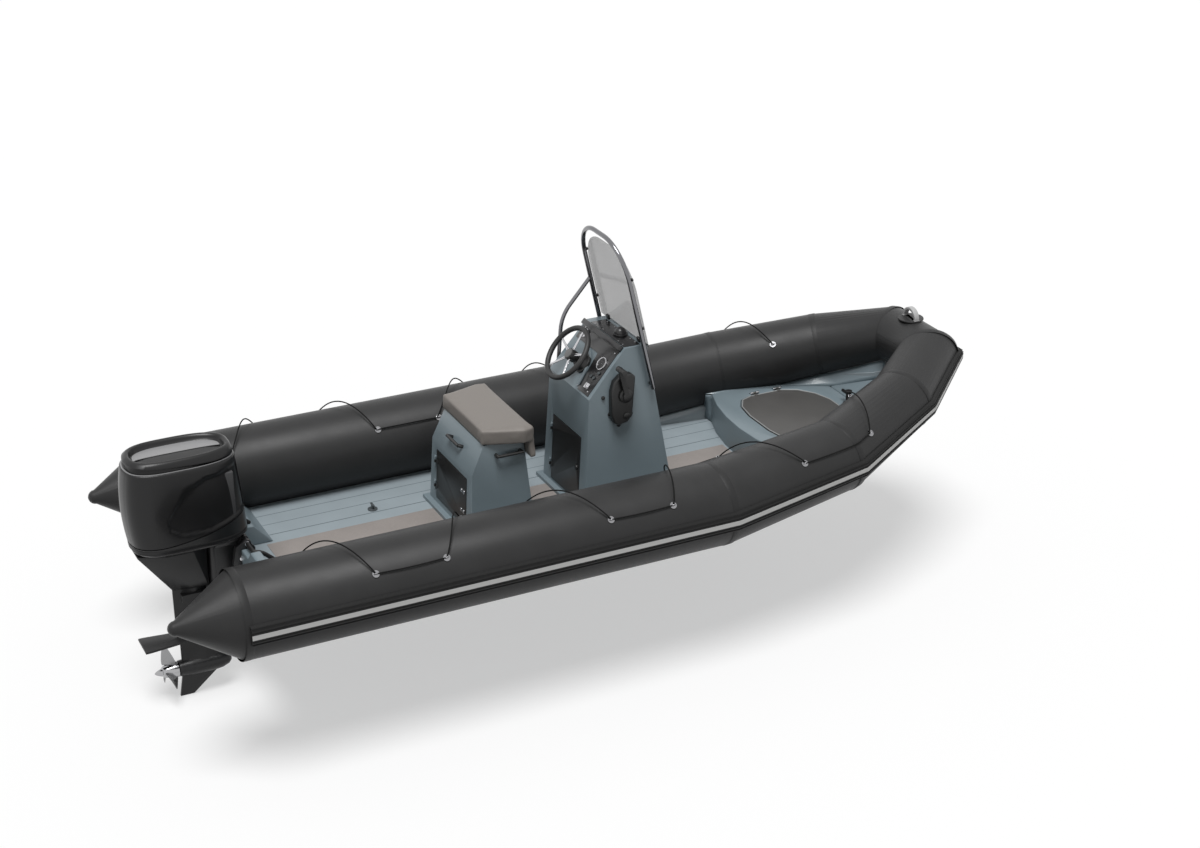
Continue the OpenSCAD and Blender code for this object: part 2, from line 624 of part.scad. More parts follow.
// Side-mounted remote control and its lever
control_y = -285;
control_z = 800;
function console_side(z) = console_w - (console_w - console_top_w) * (z - deck_z) / (console_top_z - deck_z);
console_side_lean = atan((console_w - console_top_w) / (console_top_z - deck_z));
module on_side(y, z) {
    translate([-console_side(z), y, z]) rotate([0, -90 + console_side_lean, 0]) children();
}
module remote_control() {
    color([0.06, 0.06, 0.06]) on_side(control_y, control_z) translate([0, 0, 0.5]) {
        linear_extrude(46) offset(r = 30) square([230, 66], center = true);
        translate([40, 0, 46]) cylinder(r = 44, h = 16, $fn = 48);
    }
}
module throttle_lever() {
    color([0.06, 0.06, 0.06]) on_side(control_y, control_z) translate([40, 0, 62.8]) {
        cylinder(r = 26, h = 14, $fn = 40);
        rotate([0, 0, 14]) translate([0, -14, 0]) cube([190, 28, 14]);
        rotate([0, 0, 14]) translate([176, 0, -22]) rotate([0, 0, 0]) cylinder(r = 17, h = 90, $fn = 32);
    }
}
// Windscreen inside its stainless hoop
screen_inset = 11.14;
screen_y = dash_top[0] - console_top_len + screen_inset;
screen_rake = 13;
screen_w = 306;
screen_h = 590;
screen_t = 5;
hoop_r = 14;
hoop_z = 841;
hoop_top_z = 1748;
hoop_y = screen_y + 24 - (console_top_z - hoop_z) * tan(screen_rake);
hoop_w = [302, 292];
hoop_s = (hoop_top_z - hoop_z) / cos(screen_rake);
hoop_bend = 120;
// Both lie in raked planes: x across, y up the plane, z forward
module on_screen() {
    translate([0, screen_y, console_top_z + gap]) rotate([90 - screen_rake, 0, 0]) children();
}
module on_hoop() { translate([0, hoop_y, hoop_z]) rotate([90 - screen_rake, 0, 0]) children(); }
module windscreen() {
    color([0.7, 0.72, 0.73, 0.6]) on_screen() linear_extrude(screen_t) {
        translate([-screen_w, 0]) square([2 * screen_w, screen_h - 140]);
        translate([-screen_w + 140, screen_h - 141]) square([2 * screen_w - 280, 141]);
        for (s = [-1, 1]) translate([s * (screen_w - 140), screen_h - 140]) circle(r = 140, $fn = 64);
    }
}
hoop_half = concat([[hoop_w[0], 0]],
    [for (a = [0:15:90]) [hoop_w[1] - hoop_bend * (1 - cos(a)), hoop_s - hoop_bend * (1 - sin(a))]]);
hoop_path = concat(hoop_half, [for (i = [len(hoop_half) - 1:-1:0]) [-hoop_half[i].x, hoop_half[i].y]]);
function path_dir(i) = unit((i > 0 ? unit(hoop_path[i] - hoop_path[i - 1]) : [0, 0])
    + (i < len(hoop_path) - 1 ? unit(hoop_path[i + 1] - hoop_path[i]) : [0, 0]));
function pipe_ring(i) =
    let (d = path_dir(i), last = max(i, 1), seg = unit(hoop_path[last] - hoop_path[last - 1]), k =
        1 / (d * seg))
    [for (j = [0:19]) let (a = j * 18)
        [hoop_path[i].x + d.y * hoop_r * k * cos(a), hoop_path[i].y - d.x * hoop_r * k * cos(a),
            hoop_r * sin(a)]];
module screen_hoop() {
    color([0.78, 0.78, 0.8]) on_hoop() sweep([for (i = [0:len(hoop_path) - 1]) pipe_ring(i)]);
}
module screen_fittings() {
    color([0.75, 0.75, 0.77]) {
        for (x = [-200, 200]) on_screen() translate([x - 15, 3.7, -14 - gap]) cube([30, 28, 14]);
        for (s = [-1, 1]) translate([s * (console_side(hoop_z + 12) + 1), hoop_y + 6, hoop_z + 26])
            rotate([0, s * 90, 0]) cylinder(r = 11, h =
                hoop_w[0] - hoop_r - console_side(hoop_z + 12) - 1.6, $fn = 32);
        for (s = [-1, 1]) for (y = [400, 720]) on_hoop()
            translate([s * (hoop_w[0] - (hoop_w[0] - hoop_w[1]) * y / hoop_s), y, hoop_r + gap])
            cylinder(r = 10, h = 24 * cos(screen_rake) - hoop_r - 2 * gap, $fn = 32);
    }
}

// ---- Outboard motor ----
tilt_y = transom_y - transom_t / 2 - 5;
tilt_z = transom_z + 34;
steer_y = transom_y + 130;
bracket_in = 100;
bracket_t = 34;
pin_r = 16;
bracket_hook = 20;
module clamp_bracket() {
    color([0.07, 0.07, 0.07]) {
        for (s = [0, 1]) mirror([s, 0, 0]) translate([bracket_in, 0, 0]) rotate([90, 0, 90])
            linear_extrude(bracket_t)
            polygon([[transom_y - transom_t - bracket_hook, transom_z + 2],
                [transom_y - transom_t - bracket_hook, transom_z - 120],
                    [transom_y - transom_t - gap, transom_z - 120],
                [transom_y - transom_t - gap, transom_z + gap], [transom_y + gap, transom_z + gap],
                [transom_y + gap, transom_z - 330], [transom_y + 34, transom_z - 330],
                [transom_y + 50, transom_z - 80], [transom_y + 30, transom_z + 20],
                    [tilt_y + 20, tilt_z + 13],
                [tilt_y, tilt_z + 24], [tilt_y - 20, tilt_z + 13], [tilt_y - 26, tilt_z - 10]]);
        translate([-bracket_in, tilt_y, tilt_z]) rotate([0, 90, 0])
            cylinder(r = pin_r, h = 2 * bracket_in, $fn = 40);
        translate([-bracket_in, transom_y + 1, transom_z - 328]) cube([2 * bracket_in, 32, 24]);
    }
}
swivel_w = 90;
steer_r = 42;
steer_pin_r = 24;
steer_len = 300;
swivel_top = tilt_z + 24;
module swivel_bracket() {
    color([0.09, 0.09, 0.09]) difference() {
        union() {
            translate([-swivel_w, tilt_y, tilt_z]) rotate([0, 90, 0])
                cylinder(r = 24, h = 2 * swivel_w, $fn = 48);
            translate([-swivel_w + 20, tilt_y, tilt_z - 22]) cube([2 * swivel_w - 40, steer_y - tilt_y, 44]);
            translate([0, steer_y, swivel_top - steer_len]) cylinder(r = steer_r, h = steer_len, $fn = 48);
            for (x = [-44, 30]) translate([x, transom_y + 8, swivel_top - steer_len + 20])
                cube([14, steer_y - transom_y - 8, steer_len - 60]);
        }
        translate([-swivel_w - 1, tilt_y, tilt_z]) rotate([0, 90, 0])
            cylinder(r = pin_r + 0.06, h = 2 * swivel_w + 2, $fn = 40);
        translate([0, steer_y, swivel_top - steer_len - 1])
            cylinder(r = steer_pin_r + 0.06, h = steer_len + 2, $fn = 40);
    }
}
module rod(a, b, r) {
    d = b - a;
    translate(a) rotate([0, acos(d.z / norm(d)), atan2(d.y, d.x)]) cylinder(r = r, h = norm(d), $fn = 32);
}
module tilt_ram() {
    color([0.3, 0.3, 0.31]) rod([0, transom_y + 20, transom_z - 303], [0, transom_y + 26, tilt_z - 60], 15);
}
leg_fwd = steer_y + 10;
gear_z = plate_z - 195;
gear_r = 54;
gear_len = 310;
plate_len = 440;
pan_depth = 55;
pan_z = cowl_z - pan_depth;
mid_z = plate_z + 325;
module leg_plan(y0, y1, w) {
    hull() {
        translate([0, y0 + w * 0.5]) circle(r = w * 0.5, $fn = 32);
        translate([0, y0 + (y1 - y0) * 0.4]) circle(r = w, $fn = 32);
        translate([0, y1 - 8]) circle(r = 8, $fn = 32);
    }
}
// Housing that tapers from the cowl's pan to the leg
module midsection() {
    fy = steer_y + steer_r + 10;
    hull() {
        translate([0, 0, pan_z - 8]) linear_extrude(8)
            polygon([[-80, fy], [80, fy], [150, fy + 90], [150, fy + 240], [85, fy + 390], [-85, fy + 390],
                [-150, fy + 240], [-150, fy + 90]]);
        translate([0, 0, mid_z]) linear_extrude(8)
            polygon([[-44, fy], [44, fy], [46, fy + 90], [20, fy + 200], [-20, fy + 200], [-46, fy + 90]]);
    }
}
module motor_leg() {
    color([0.07, 0.07, 0.07]) {
        translate([0, steer_y, swivel_top - steer_len - 30])
            cylinder(r = steer_pin_r, h = steer_len + 32, $fn = 40);
        translate([-75, steer_y - 40, swivel_top + 1]) cube([150, 330, pan_z + 20 - swivel_top - 1]);
        midsection();
        translate([-60, steer_y - 30, swivel_top - steer_len - 50]) cube([120, 240, 44]);
        translate([0, 0, plate_z]) linear_extrude(mid_z + 4 - plate_z)
            leg_plan(leg_fwd + 44, leg_fwd + 240, 44);
        translate([0, 0, plate_z - 5]) linear_extrude(12) hull() {
            translate([0, leg_fwd - 10]) circle(r = 35, $fn = 32);
            translate([-85, leg_fwd + plate_len - 30]) square([170, 30]);
        }
        translate([0, 0, gear_z]) linear_extrude(plate_z - gear_z) leg_plan(leg_fwd - 5, leg_fwd + 225, 34);
        translate([0, prop_y - gear_len, gear_z]) rotate([-90, 0, 0])
            rotate_extrude($fn = 64) polygon([[0, 0], [20, 4], [36, 20], [gear_r - 4, 60], [gear_r, 100],
                [gear_r, 230],
                [prop_hub_r, gear_len], [0, gear_len]]);
        translate([0, prop_y - 5, gear_z]) rotate([-90, 0, 0]) cylinder(r = shaft_r, h = 90, $fn = 40);
        translate([-7, 0, 0]) rotate([90, 0, 90]) linear_extrude(14)
            polygon([[prop_y - 250, gear_z - 30], [prop_y - 75, gear_z - 180], [prop_y + 5, gear_z - 180],
                [prop_y - 20, gear_z - 30]]);
    }
}
prop_y = leg_fwd + 245;
prop_hub_r = 46;
shaft_r = 12;
blade_count = 3;
module blade() {
    intersection() {
        translate([0, 0, 48]) rotate([35, 0, 0]) translate([prop_r * 0.55, 0, 0])
            cylinder(r = 72, h = 7, center = true, $fn = 48);
        difference() {
            translate([0, 0, 2]) cylinder(r = prop_r, h = 92, $fn = 64);
            translate([0, 0, 1]) cylinder(r = prop_hub_r - 4, h = 94, $fn = 48);
        }
    }
}
module propeller() {
    color([0.55, 0.55, 0.56]) translate([0, prop_y + 0.5, gear_z]) rotate([-90, 0, 0]) {
        difference() {
            cylinder(r = prop_hub_r, h = 95, $fn = 48);
            translate([0, 0, -1]) cylinder(r = shaft_r + 0.05, h = 87, $fn = 40);
        }
        translate([0, 0, 95]) cylinder(r1 = 22, r2 = 12, h = 24, $fn = 32);
        for (i = [0:blade_count - 1]) rotate([0, 0, 360 / blade_count * i]) blade();
    }
}
cowl_y = steer_y - 205;
cowl_round = 100;
cowl_wall = 8;
module cowl_plan(d) {
    offset(r = cowl_round - d) offset(delta = -cowl_round)
        translate([-cowl_w, cowl_y]) square([2 * cowl_w, cowl_len]);
}
module lower_cowl() {
    color([0.06, 0.06, 0.06]) translate([0, 0, pan_z]) {
        linear_extrude(pan_depth - 20) difference() {
            cowl_plan(26);
            translate([-75.5, steer_y - 40.5]) square([151, 331]);
        }
        translate([0, 0, 20]) linear_extrude(pan_depth - 20) cowl_plan(0);
    }
}
module top_cowl() {
    color([0.07, 0.07, 0.07]) translate([0, 0, cowl_z + gap]) difference() {
        union() {
            linear_extrude(cowl_h - 60) cowl_plan(0);
            translate([0, 0, cowl_h - 60]) linear_extrude(60) cowl_plan(26);
        }
        translate([0, 0, -1]) linear_extrude(cowl_h - 60) cowl_plan(cowl_wall);
    }
}
module powerhead() {
    color([0.3, 0.3, 0.3]) translate([-150, cowl_y + 90, cowl_z]) cube([300, cowl_len - 190, 380]);
}

vee_hull();
deck();
deck_strip();
stern_moulding();
transom();
tube_starboard();
tube_port();
tube_bow();
strake_starboard();
strake_port();
strake_bow();
strake_stripe();
bow_handle();
lifeline_eyelets();
bow_deck();
bow_locker();
locker_hinges();
locker_lid();
locker_latch();
bow_cleat();
bow_eye();
stern_eyes();
deck_fittings();
seat_box();
seat_door();
seat_latches();
seat_cushion();
seat_handles();
console_body();
console_door();
dash_panel();
gauges();
compass();
helm_bezel();
steering_wheel();
remote_control();
throttle_lever();
windscreen();
screen_hoop();
screen_fittings();
clamp_bracket();
swivel_bracket();
tilt_ram();
motor_leg();
powerhead();
lower_cowl();
top_cowl();
propeller();
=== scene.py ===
import math
import bpy
import bmesh
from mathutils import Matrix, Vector


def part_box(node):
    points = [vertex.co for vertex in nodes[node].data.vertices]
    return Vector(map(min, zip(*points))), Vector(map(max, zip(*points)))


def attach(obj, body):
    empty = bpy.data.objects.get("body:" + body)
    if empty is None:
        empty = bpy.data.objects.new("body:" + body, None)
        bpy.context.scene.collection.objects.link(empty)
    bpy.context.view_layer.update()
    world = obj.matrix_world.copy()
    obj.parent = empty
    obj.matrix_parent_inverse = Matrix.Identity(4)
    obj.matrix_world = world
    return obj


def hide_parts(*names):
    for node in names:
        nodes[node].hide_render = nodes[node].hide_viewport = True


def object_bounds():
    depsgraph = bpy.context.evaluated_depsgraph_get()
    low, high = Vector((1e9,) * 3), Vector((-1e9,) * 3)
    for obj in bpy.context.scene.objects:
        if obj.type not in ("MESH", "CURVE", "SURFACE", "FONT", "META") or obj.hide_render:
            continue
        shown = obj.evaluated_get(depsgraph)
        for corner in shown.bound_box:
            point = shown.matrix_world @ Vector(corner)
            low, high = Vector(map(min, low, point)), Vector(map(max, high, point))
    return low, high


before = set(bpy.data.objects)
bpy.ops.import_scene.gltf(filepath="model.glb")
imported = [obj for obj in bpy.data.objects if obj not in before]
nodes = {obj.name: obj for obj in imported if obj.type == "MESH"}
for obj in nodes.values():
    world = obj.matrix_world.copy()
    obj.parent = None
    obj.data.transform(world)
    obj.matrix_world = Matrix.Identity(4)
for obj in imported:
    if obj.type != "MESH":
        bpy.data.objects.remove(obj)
cad_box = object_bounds()


# ---- Camera, lamps and floor ----
# The boat is shown out of the water on a pale studio floor at the skeg's tip,
# under a broad soft sun high on the boat's starboard quarter.
camera_data = bpy.data.cameras.new("camera")
camera = bpy.data.objects.new("camera", camera_data)
bpy.context.scene.collection.objects.link(camera)
camera_place = (-10.077, 4.738, 5.742)
camera_down = 24.866
camera_heading = 243.551
camera.location = camera_place
camera.rotation_euler = (math.radians(90 - camera_down), 0, math.radians(camera_heading))
camera_data.sensor_width = 36
camera_data.lens = 61.54
camera_data.clip_start = 0.1
camera_data.clip_end = 200
bpy.context.scene.camera = camera
bpy.context.scene.view_settings.view_transform = "Standard"


class Flow:
    """A shader socket whose arithmetic adds Math nodes."""

    def __init__(self, tree, socket):
        self.tree = tree
        self.socket = socket

    def _math(self, operation, first, second=None):
        node = self.tree.nodes.new("ShaderNodeMath")
        node.operation = operation
        for place, value in enumerate((first, second)):
            if value is None:
                continue
            if isinstance(value, Flow):
                self.tree.links.new(value.socket, node.inputs[place])
            else:
                node.inputs[place].default_value = value
        return Flow(self.tree, node.outputs[0])

    def __add__(self, other):
        return self._math("ADD", self, other)

    def __radd__(self, other):
        return self._math("ADD", other, self)

    def __sub__(self, other):
        return self._math("SUBTRACT", self, other)

    def __rsub__(self, other):
        return self._math("SUBTRACT", other, self)

    def __mul__(self, other):
        return self._math("MULTIPLY", self, other)

    def __rmul__(self, other):
        return self._math("MULTIPLY", other, self)

    def __lt__(self, other):
        return self._math("LESS_THAN", self, other)

    def size(self):
        return self._math("ABSOLUTE", self)


def make_node(tree, kind, settings=None, pick=0, **values):
    """One shader node: its settings first, then the values or links of its sockets."""
    node = tree.nodes.new(kind)
    for name, value in (settings or {}).items():
        if name == "stops":
            while len(node.color_ramp.elements) < len(value):
                node.color_ramp.elements.new(0.5)
            for element, (place, colour) in zip(node.color_ramp.elements, value):
                element.position = place
                element.color = (*colour, 1)
        else:
            setattr(node, name, value)
    for name, value in values.items():
        key = int(name[1:]) if name[0] == "i" and name[1:].isdigit() else name.replace("_", " ")
        socket = node.inputs[key]
        if isinstance(value, Flow):
            tree.links.new(value.socket, socket)
        else:
            socket.default_value = value
    return Flow(tree, node.outputs[pick])


floor_gap = 0.004
floor_size = 160
bpy.ops.mesh.primitive_plane_add(size=floor_size, location=(0, 0, cad_box[0].z - floor_gap))
floor = bpy.context.object
floor.name = "studio_floor"
floor_look = bpy.data.materials.new("floor_look")
floor_look.use_nodes = True
floor_tree = floor_look.node_tree
floor_paint = floor_tree.nodes["Principled BSDF"]
floor_paint.inputs["Base Color"].default_value = (0.9, 0.9, 0.9, 1)
floor_paint.inputs["Roughness"].default_value = 0.9
floor_paint.inputs["Specular IOR Level"].default_value = 0.0


def seen_directly(tree):
    """1 for camera, glossy and transmission rays, 0 for the diffuse rays that light the boat."""
    ray = tree.nodes.new("ShaderNodeLightPath")
    plain_view = Flow(tree, ray.outputs["Is Camera Ray"]) + Flow(tree, ray.outputs["Is Glossy Ray"])
    return plain_view + Flow(tree, ray.outputs["Is Transmission Ray"])


glow = floor_tree.nodes.new("ShaderNodeEmission")
glow.inputs["Strength"].default_value = 1.0
bounce = floor_tree.nodes.new("ShaderNodeBsdfDiffuse")
bounce.inputs["Color"].default_value = (0.3, 0.3, 0.3, 1)
glow_share = 0.5
pale = floor_tree.nodes.new("ShaderNodeMixShader")
pale.inputs[0].default_value = glow_share
floor_tree.links.new(floor_paint.outputs[0], pale.inputs[1])
floor_tree.links.new(glow.outputs[0], pale.inputs[2])
floor_face = floor_tree.nodes.new("ShaderNodeMixShader")
floor_tree.links.new(seen_directly(floor_tree).socket, floor_face.inputs[0])
floor_tree.links.new(bounce.outputs[0], floor_face.inputs[1])
floor_tree.links.new(pale.outputs[0], floor_face.inputs[2])
floor_tree.links.new(floor_face.outputs[0], floor_tree.nodes["Material Output"].inputs[0])
floor.data.materials.append(floor_look)

world = bpy.data.worlds.new("studio_air")
bpy.context.scene.world = world
world.use_nodes = True
air = world.node_tree.nodes["Background"]
lighting_share = 0.3
air_strength = seen_directly(world.node_tree) * (1 - lighting_share) + lighting_share
world.node_tree.links.new(air_strength.socket, air.inputs["Strength"])
air.inputs["Color"].default_value = (1, 1, 1, 1)

sun_data = bpy.data.lights.new("soft_sun", "SUN")
sun_data.energy = 2.7
sun_data.angle = math.radians(28)
sun = bpy.data.objects.new("soft_sun", sun_data)
bpy.context.scene.collection.objects.link(sun)
sun.rotation_euler = Vector((2.2, -1.6, -9)).to_track_quat("-Z", "Y").to_euler()


# ---- Side tubes and bow tube ----
# Welded chambers of heavy coated fabric, dark grey with a satin face.
# Each is a swept skin between mitred joints, with glued seam tapes over the welds.
def look(name, colour, rough, spread=0.0, grain=900, bump=0.0, metal=0.0, coat=0.0,
         fleck=0.12, shine=0.5):
    """A moulded or coated finish: a base colour with slow and fine variation and a fine grain."""
    material = bpy.data.materials.new(name)
    material.use_nodes = True
    tree = material.node_tree
    shader = tree.nodes["Principled BSDF"]
    where = make_node(tree, "ShaderNodeTexCoord", pick=3)
    slow = make_node(tree, "ShaderNodeTexNoise", Vector=where, Scale=5.0, Detail=4.0, Roughness=0.6)
    fine = make_node(tree, "ShaderNodeTexNoise", Vector=where, Scale=grain, Detail=2.0)
    blend = (slow - 0.5) * fleck + (fine - 0.5) * (fleck * 0.7)
    pale = [min(1, c * 1.6 + 0.004) for c in colour]
    dark = [c * 0.45 for c in colour]
    tint = make_node(tree, "ShaderNodeValToRGB", {"stops": [(0.0, dark), (0.5, colour), (1.0, pale)]},
                     Fac=blend + 0.5)
    tree.links.new(tint.socket, shader.inputs["Base Color"])
    tree.links.new(((slow - 0.5) * (0.15 + spread) + rough).socket, shader.inputs["Roughness"])
    shader.inputs["Metallic"].default_value = metal
    shader.inputs["Coat Weight"].default_value = coat
    shader.inputs["Coat Roughness"].default_value = 0.08
    shader.inputs["Specular IOR Level"].default_value = shine
    if bump:
        relief = tree.nodes.new("ShaderNodeBump")
        relief.inputs["Strength"].default_value = bump
        relief.inputs["Distance"].default_value = 0.001
        tree.links.new(fine.socket, relief.inputs["Height"])
        tree.links.new(relief.outputs[0], shader.inputs["Normal"])
    return material


def put(name, mesh, body, material, replaced=()):
    """Links a finished mesh, gives it its material and rides it on its body."""
    piece = bpy.data.objects.new(name, mesh)
    bpy.context.scene.collection.objects.link(piece)
    mesh.materials.append(material)
    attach(piece, body)
    if replaced:
        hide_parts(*replaced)
    return piece


def choose(piece):
    """Makes a piece the only one selected, and the active one."""
    bpy.ops.object.select_all(action="DESELECT")
    piece.select_set(True)
    bpy.context.view_layer.objects.active = piece


def soften(piece, width, segments=2, angle=35):
    """Rounds a piece's sharp edges and shades it."""
    choose(piece)
    round_over = piece.modifiers.new("edges", "BEVEL")
    round_over.width = width
    round_over.segments = segments
    round_over.limit_method = "ANGLE"
    round_over.angle_limit = math.radians(angle)
    round_over.harden_normals = False
    bpy.ops.object.modifier_apply(modifier="edges")
    bpy.ops.object.shade_smooth_by_angle(angle=math.radians(angle))


def skin(name, node, body, material, angle=30, edge=0.0, segments=2):
    """A CAD node's own shape as one merged skin, with its edges rounded over."""
    mesh = nodes[node].data.copy()
    mesh.name = name
    mesh.materials.clear()
    shell = bmesh.new()
    shell.from_mesh(mesh)
    bmesh.ops.remove_doubles(shell, verts=shell.verts, dist=0.00002)
    bmesh.ops.dissolve_limit(shell, angle_limit=0.002, verts=shell.verts, edges=shell.edges)
    shell.to_mesh(mesh)
    shell.free()
    piece = put(name, mesh, body, material, (node,))
    if edge:
        soften(piece, edge, segments)
    choose(piece)
    bpy.ops.object.shade_smooth_by_angle(angle=math.radians(angle))
    return piece


tube_fabric = look("tube_fabric", (0.03, 0.03, 0.0303), 0.4, spread=0.1, grain=1500, bump=0.25,
                   fleck=0.3, shine=0.2)
for part in ("tube_starboard", "tube_port", "tube_bow"):
    skin(part + "_skin", part, "boat", tube_fabric, angle=14)

# The welded joints of the route, stern to bow: place and radius in metres.
joints = [((0.845, 2.28, 0.3), 0.25), ((0.845, -0.6, 0.3), 0.25), ((0.754, -1.49, 0.383), 0.227),
          ((0.497, -2.12, 0.519), 0.204), ((0.198, -2.506, 0.632), 0.181)]
side_joints = len(joints)
joints = [(Vector(place), radius) for place, radius in joints]
last_place, last_radius = joints[-1]
joints.append((Vector((-last_place.x, last_place.y, last_place.z)), last_radius))
upright = Vector((0, 0, 1))
weld = []
for number, (place, radius) in enumerate(joints[:side_joints]):
    ahead = (joints[number + 1][0] - place).normalized()
    behind = (place - joints[number - 1][0]).normalized() if number else ahead
    heading = (ahead + behind).normalized()
    outboard = upright.cross(heading).normalized()
    mitre = 1 / outboard.dot(upright.cross(behind).normalized())
    weld.append((place, radius, heading, outboard, heading.cross(outboard), mitre))


def weld_point(number, angle, proud, along=0.0):
    """A point round a welded joint, in its mitred plane: angle 0 is outboard, 90 on top."""
    place, radius, heading, outboard, rise, stretch = weld[number]
    reach = radius + proud
    return (place + heading * along + outboard * reach * stretch * math.cos(math.radians(angle))
            + rise * reach * math.sin(math.radians(angle)))


def on_tube(y, angle, proud, side=1):
    """A point of the tube's face: angle from the outer side, 90 on top, 180 at the inner side."""
    number = 0
    while number < 3 and y < joints[number + 1][0].y:
        number += 1
    share = (joints[number][0].y - y) / (joints[number][0].y - joints[number + 1][0].y)
    point = weld_point(number, angle, proud).lerp(weld_point(number + 1, angle, proud), share)
    return Vector((point.x * side, point.y, point.z))


def woven_bands(name, rings, closed, body, material, looped=False):
    """A skin through rings of points, each ring joined to the next, capped or looped if closed."""
    shell = bmesh.new()
    for group in rings:
        rows = [[shell.verts.new(p) for p in ring] for ring in group]
        rows += rows[:1] if looped else []
        for one, two in zip(rows, rows[1:]):
            count = len(one)
            for i in range(count if closed else count - 1):
                j = (i + 1) % count
                shell.faces.new((one[i], one[j], two[j], two[i]))
        if closed and not looped:
            shell.faces.new(rows[0])
            shell.faces.new(list(reversed(rows[-1])))
    bmesh.ops.recalc_face_normals(shell, faces=shell.faces)
    mesh = bpy.data.meshes.new(name)
    shell.to_mesh(mesh)
    shell.free()
    piece = put(name, mesh, body, material)
    choose(piece)
    bpy.ops.object.shade_smooth_by_angle(angle=math.radians(40))
    return piece


tapes = []
tape_profile = [(-0.022, 0.0002), (-0.019, 0.0012), (0.019, 0.0012), (0.022, 0.0002)]
for number in range(side_joints):
    for side in (1, -1):
        group = []
        for angle in range(-180, 181, 6):
            ring = []
            for along, proud in tape_profile:
                p = weld_point(number, angle, proud, along)
                ring.append(Vector((p.x * side, p.y, p.z)))
            group.append(ring)
        tapes.append(group)
seam_tape = look("seam_tape", (0.025, 0.025, 0.0253), 0.44, grain=1500, bump=0.3, shine=0.2)
woven_bands("seam_tapes", tapes, False, "boat", seam_tape)


# ---- Rubbing strake ----
# A thick black rubber fender, ribbed along its length and glued on the tubes' outer side.
# A pale stripe runs in the groove along its middle.
strake_rubber = look("strake_rubber", (0.007, 0.007, 0.007), 0.5, grain=700, bump=0.2, shine=0.25)
stripe_rubber = look("stripe_rubber", (0.62, 0.62, 0.61), 0.5, grain=700, fleck=0.05)
for part in ("strake_starboard", "strake_port", "strake_bow"):
    skin(part + "_skin", part, "boat", strake_rubber, angle=20)
skin("stripe_skin", "strake_stripe", "boat", stripe_rubber, angle=20)
rib_radius = 0.0045
side_tube_radius = 0.25
ribs = []
for angle in (10.6, 6.6, 3.6, -3.6, -6.6, -10.6):
    proud = 0.022 if abs(angle) > 9 else 0.026
    for side in (1, -1):
        group = []
        for number in range(side_joints):
            ring = []
            for turn in range(8):
                a = turn * math.pi / 4
                round_angle = angle + math.degrees(rib_radius * math.sin(a) / side_tube_radius)
                p = weld_point(number, round_angle, proud + rib_radius * math.cos(a))
                ring.append(Vector((p.x * side, p.y, p.z)))
            group.append(ring)
        if side > 0:
            group += [[Vector((-p.x, p.y, p.z)) for p in ring] for ring in reversed(group[-1:])]
        ribs.append(group)
woven_bands("strake_ribs", ribs, True, "boat", strake_rubber)


# ---- Lifeline ----
# A thin black braided rope along each side, rove through small bright eyelets on the tube.
# It crosses over the tube in slack loops and runs along each side between pairs of eyelets.
# Each stop is an eyelet: its place along the boat and its angle round the tube.
eyelet_stops = [(1.84, 140), (1.565, 40), (1.16, 40), (0.91, 140), (0.51, 140), (0.173, 40),
                (-0.22, 40), (-0.39, 140), (-0.77, 140), (-1.12, 40), (-1.6, 40), (-1.85, 140)]
rope_braid = look("rope_braid", (0.006, 0.006, 0.006), 0.75, grain=400, bump=0.6, shine=0.15)
rope_radius = 0.004
eyelet_lift = 0.0098
for side, word in ((1, "port"), (-1, "starboard")):
    route = []
    for (y0, a0), (y1, a1) in zip(eyelet_stops, eyelet_stops[1:]):
        steps = 18 if a0 != a1 else 10
        for step in range(steps):
            share = step / steps
            swell = math.sin(math.pi * share)
            lift = eyelet_lift + (0.03 * swell if a0 != a1 else 0.002 * swell)
            droop = 1.2 * swell if a0 == a1 == 40 else 0
            route.append(on_tube(y0 + (y1 - y0) * share, a0 + (a1 - a0) * share - droop, lift, side))
    route.append(on_tube(*eyelet_stops[-1], eyelet_lift, side))
    line = bpy.data.curves.new("lifeline_" + word, "CURVE")
    line.dimensions = "3D"
    line.bevel_depth = rope_radius
    line.bevel_resolution = 3
    line.use_fill_caps = True
    spline = line.splines.new("POLY")
    spline.points.add(len(route) - 1)
    for place, point in zip(route, spline.points):
        point.co = (*place, 1)
    rope = bpy.data.objects.new("lifeline_" + word, line)
    bpy.context.scene.collection.objects.link(rope)
    line.materials.append(rope_braid)
    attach(rope, "boat")
eyelet_metal = look("eyelet_metal", (0.3, 0.3, 0.31), 0.22, metal=1.0, fleck=0.05)
skin("eyelet_skin", "lifeline_eyelets", "boat", eyelet_metal)


# ---- Bow handle ----
# A moulded grey grab handle on a round patch, glued on top of the bow tube.
# It lifts and tows the boat.
handle_plastic = look("handle_plastic", (0.45, 0.45, 0.45), 0.45, grain=900, bump=0.2)
handle = skin("bow_handle_skin", "bow_handle", "boat", handle_plastic,
              edge=0.004, segments=3)
handle.data.materials.append(tube_fabric)
patch_thickness = 0.0085
patch_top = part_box("bow_handle")[0].z + patch_thickness
for face in handle.data.polygons:
    face.material_index = 1 if face.center.z < patch_top else 0


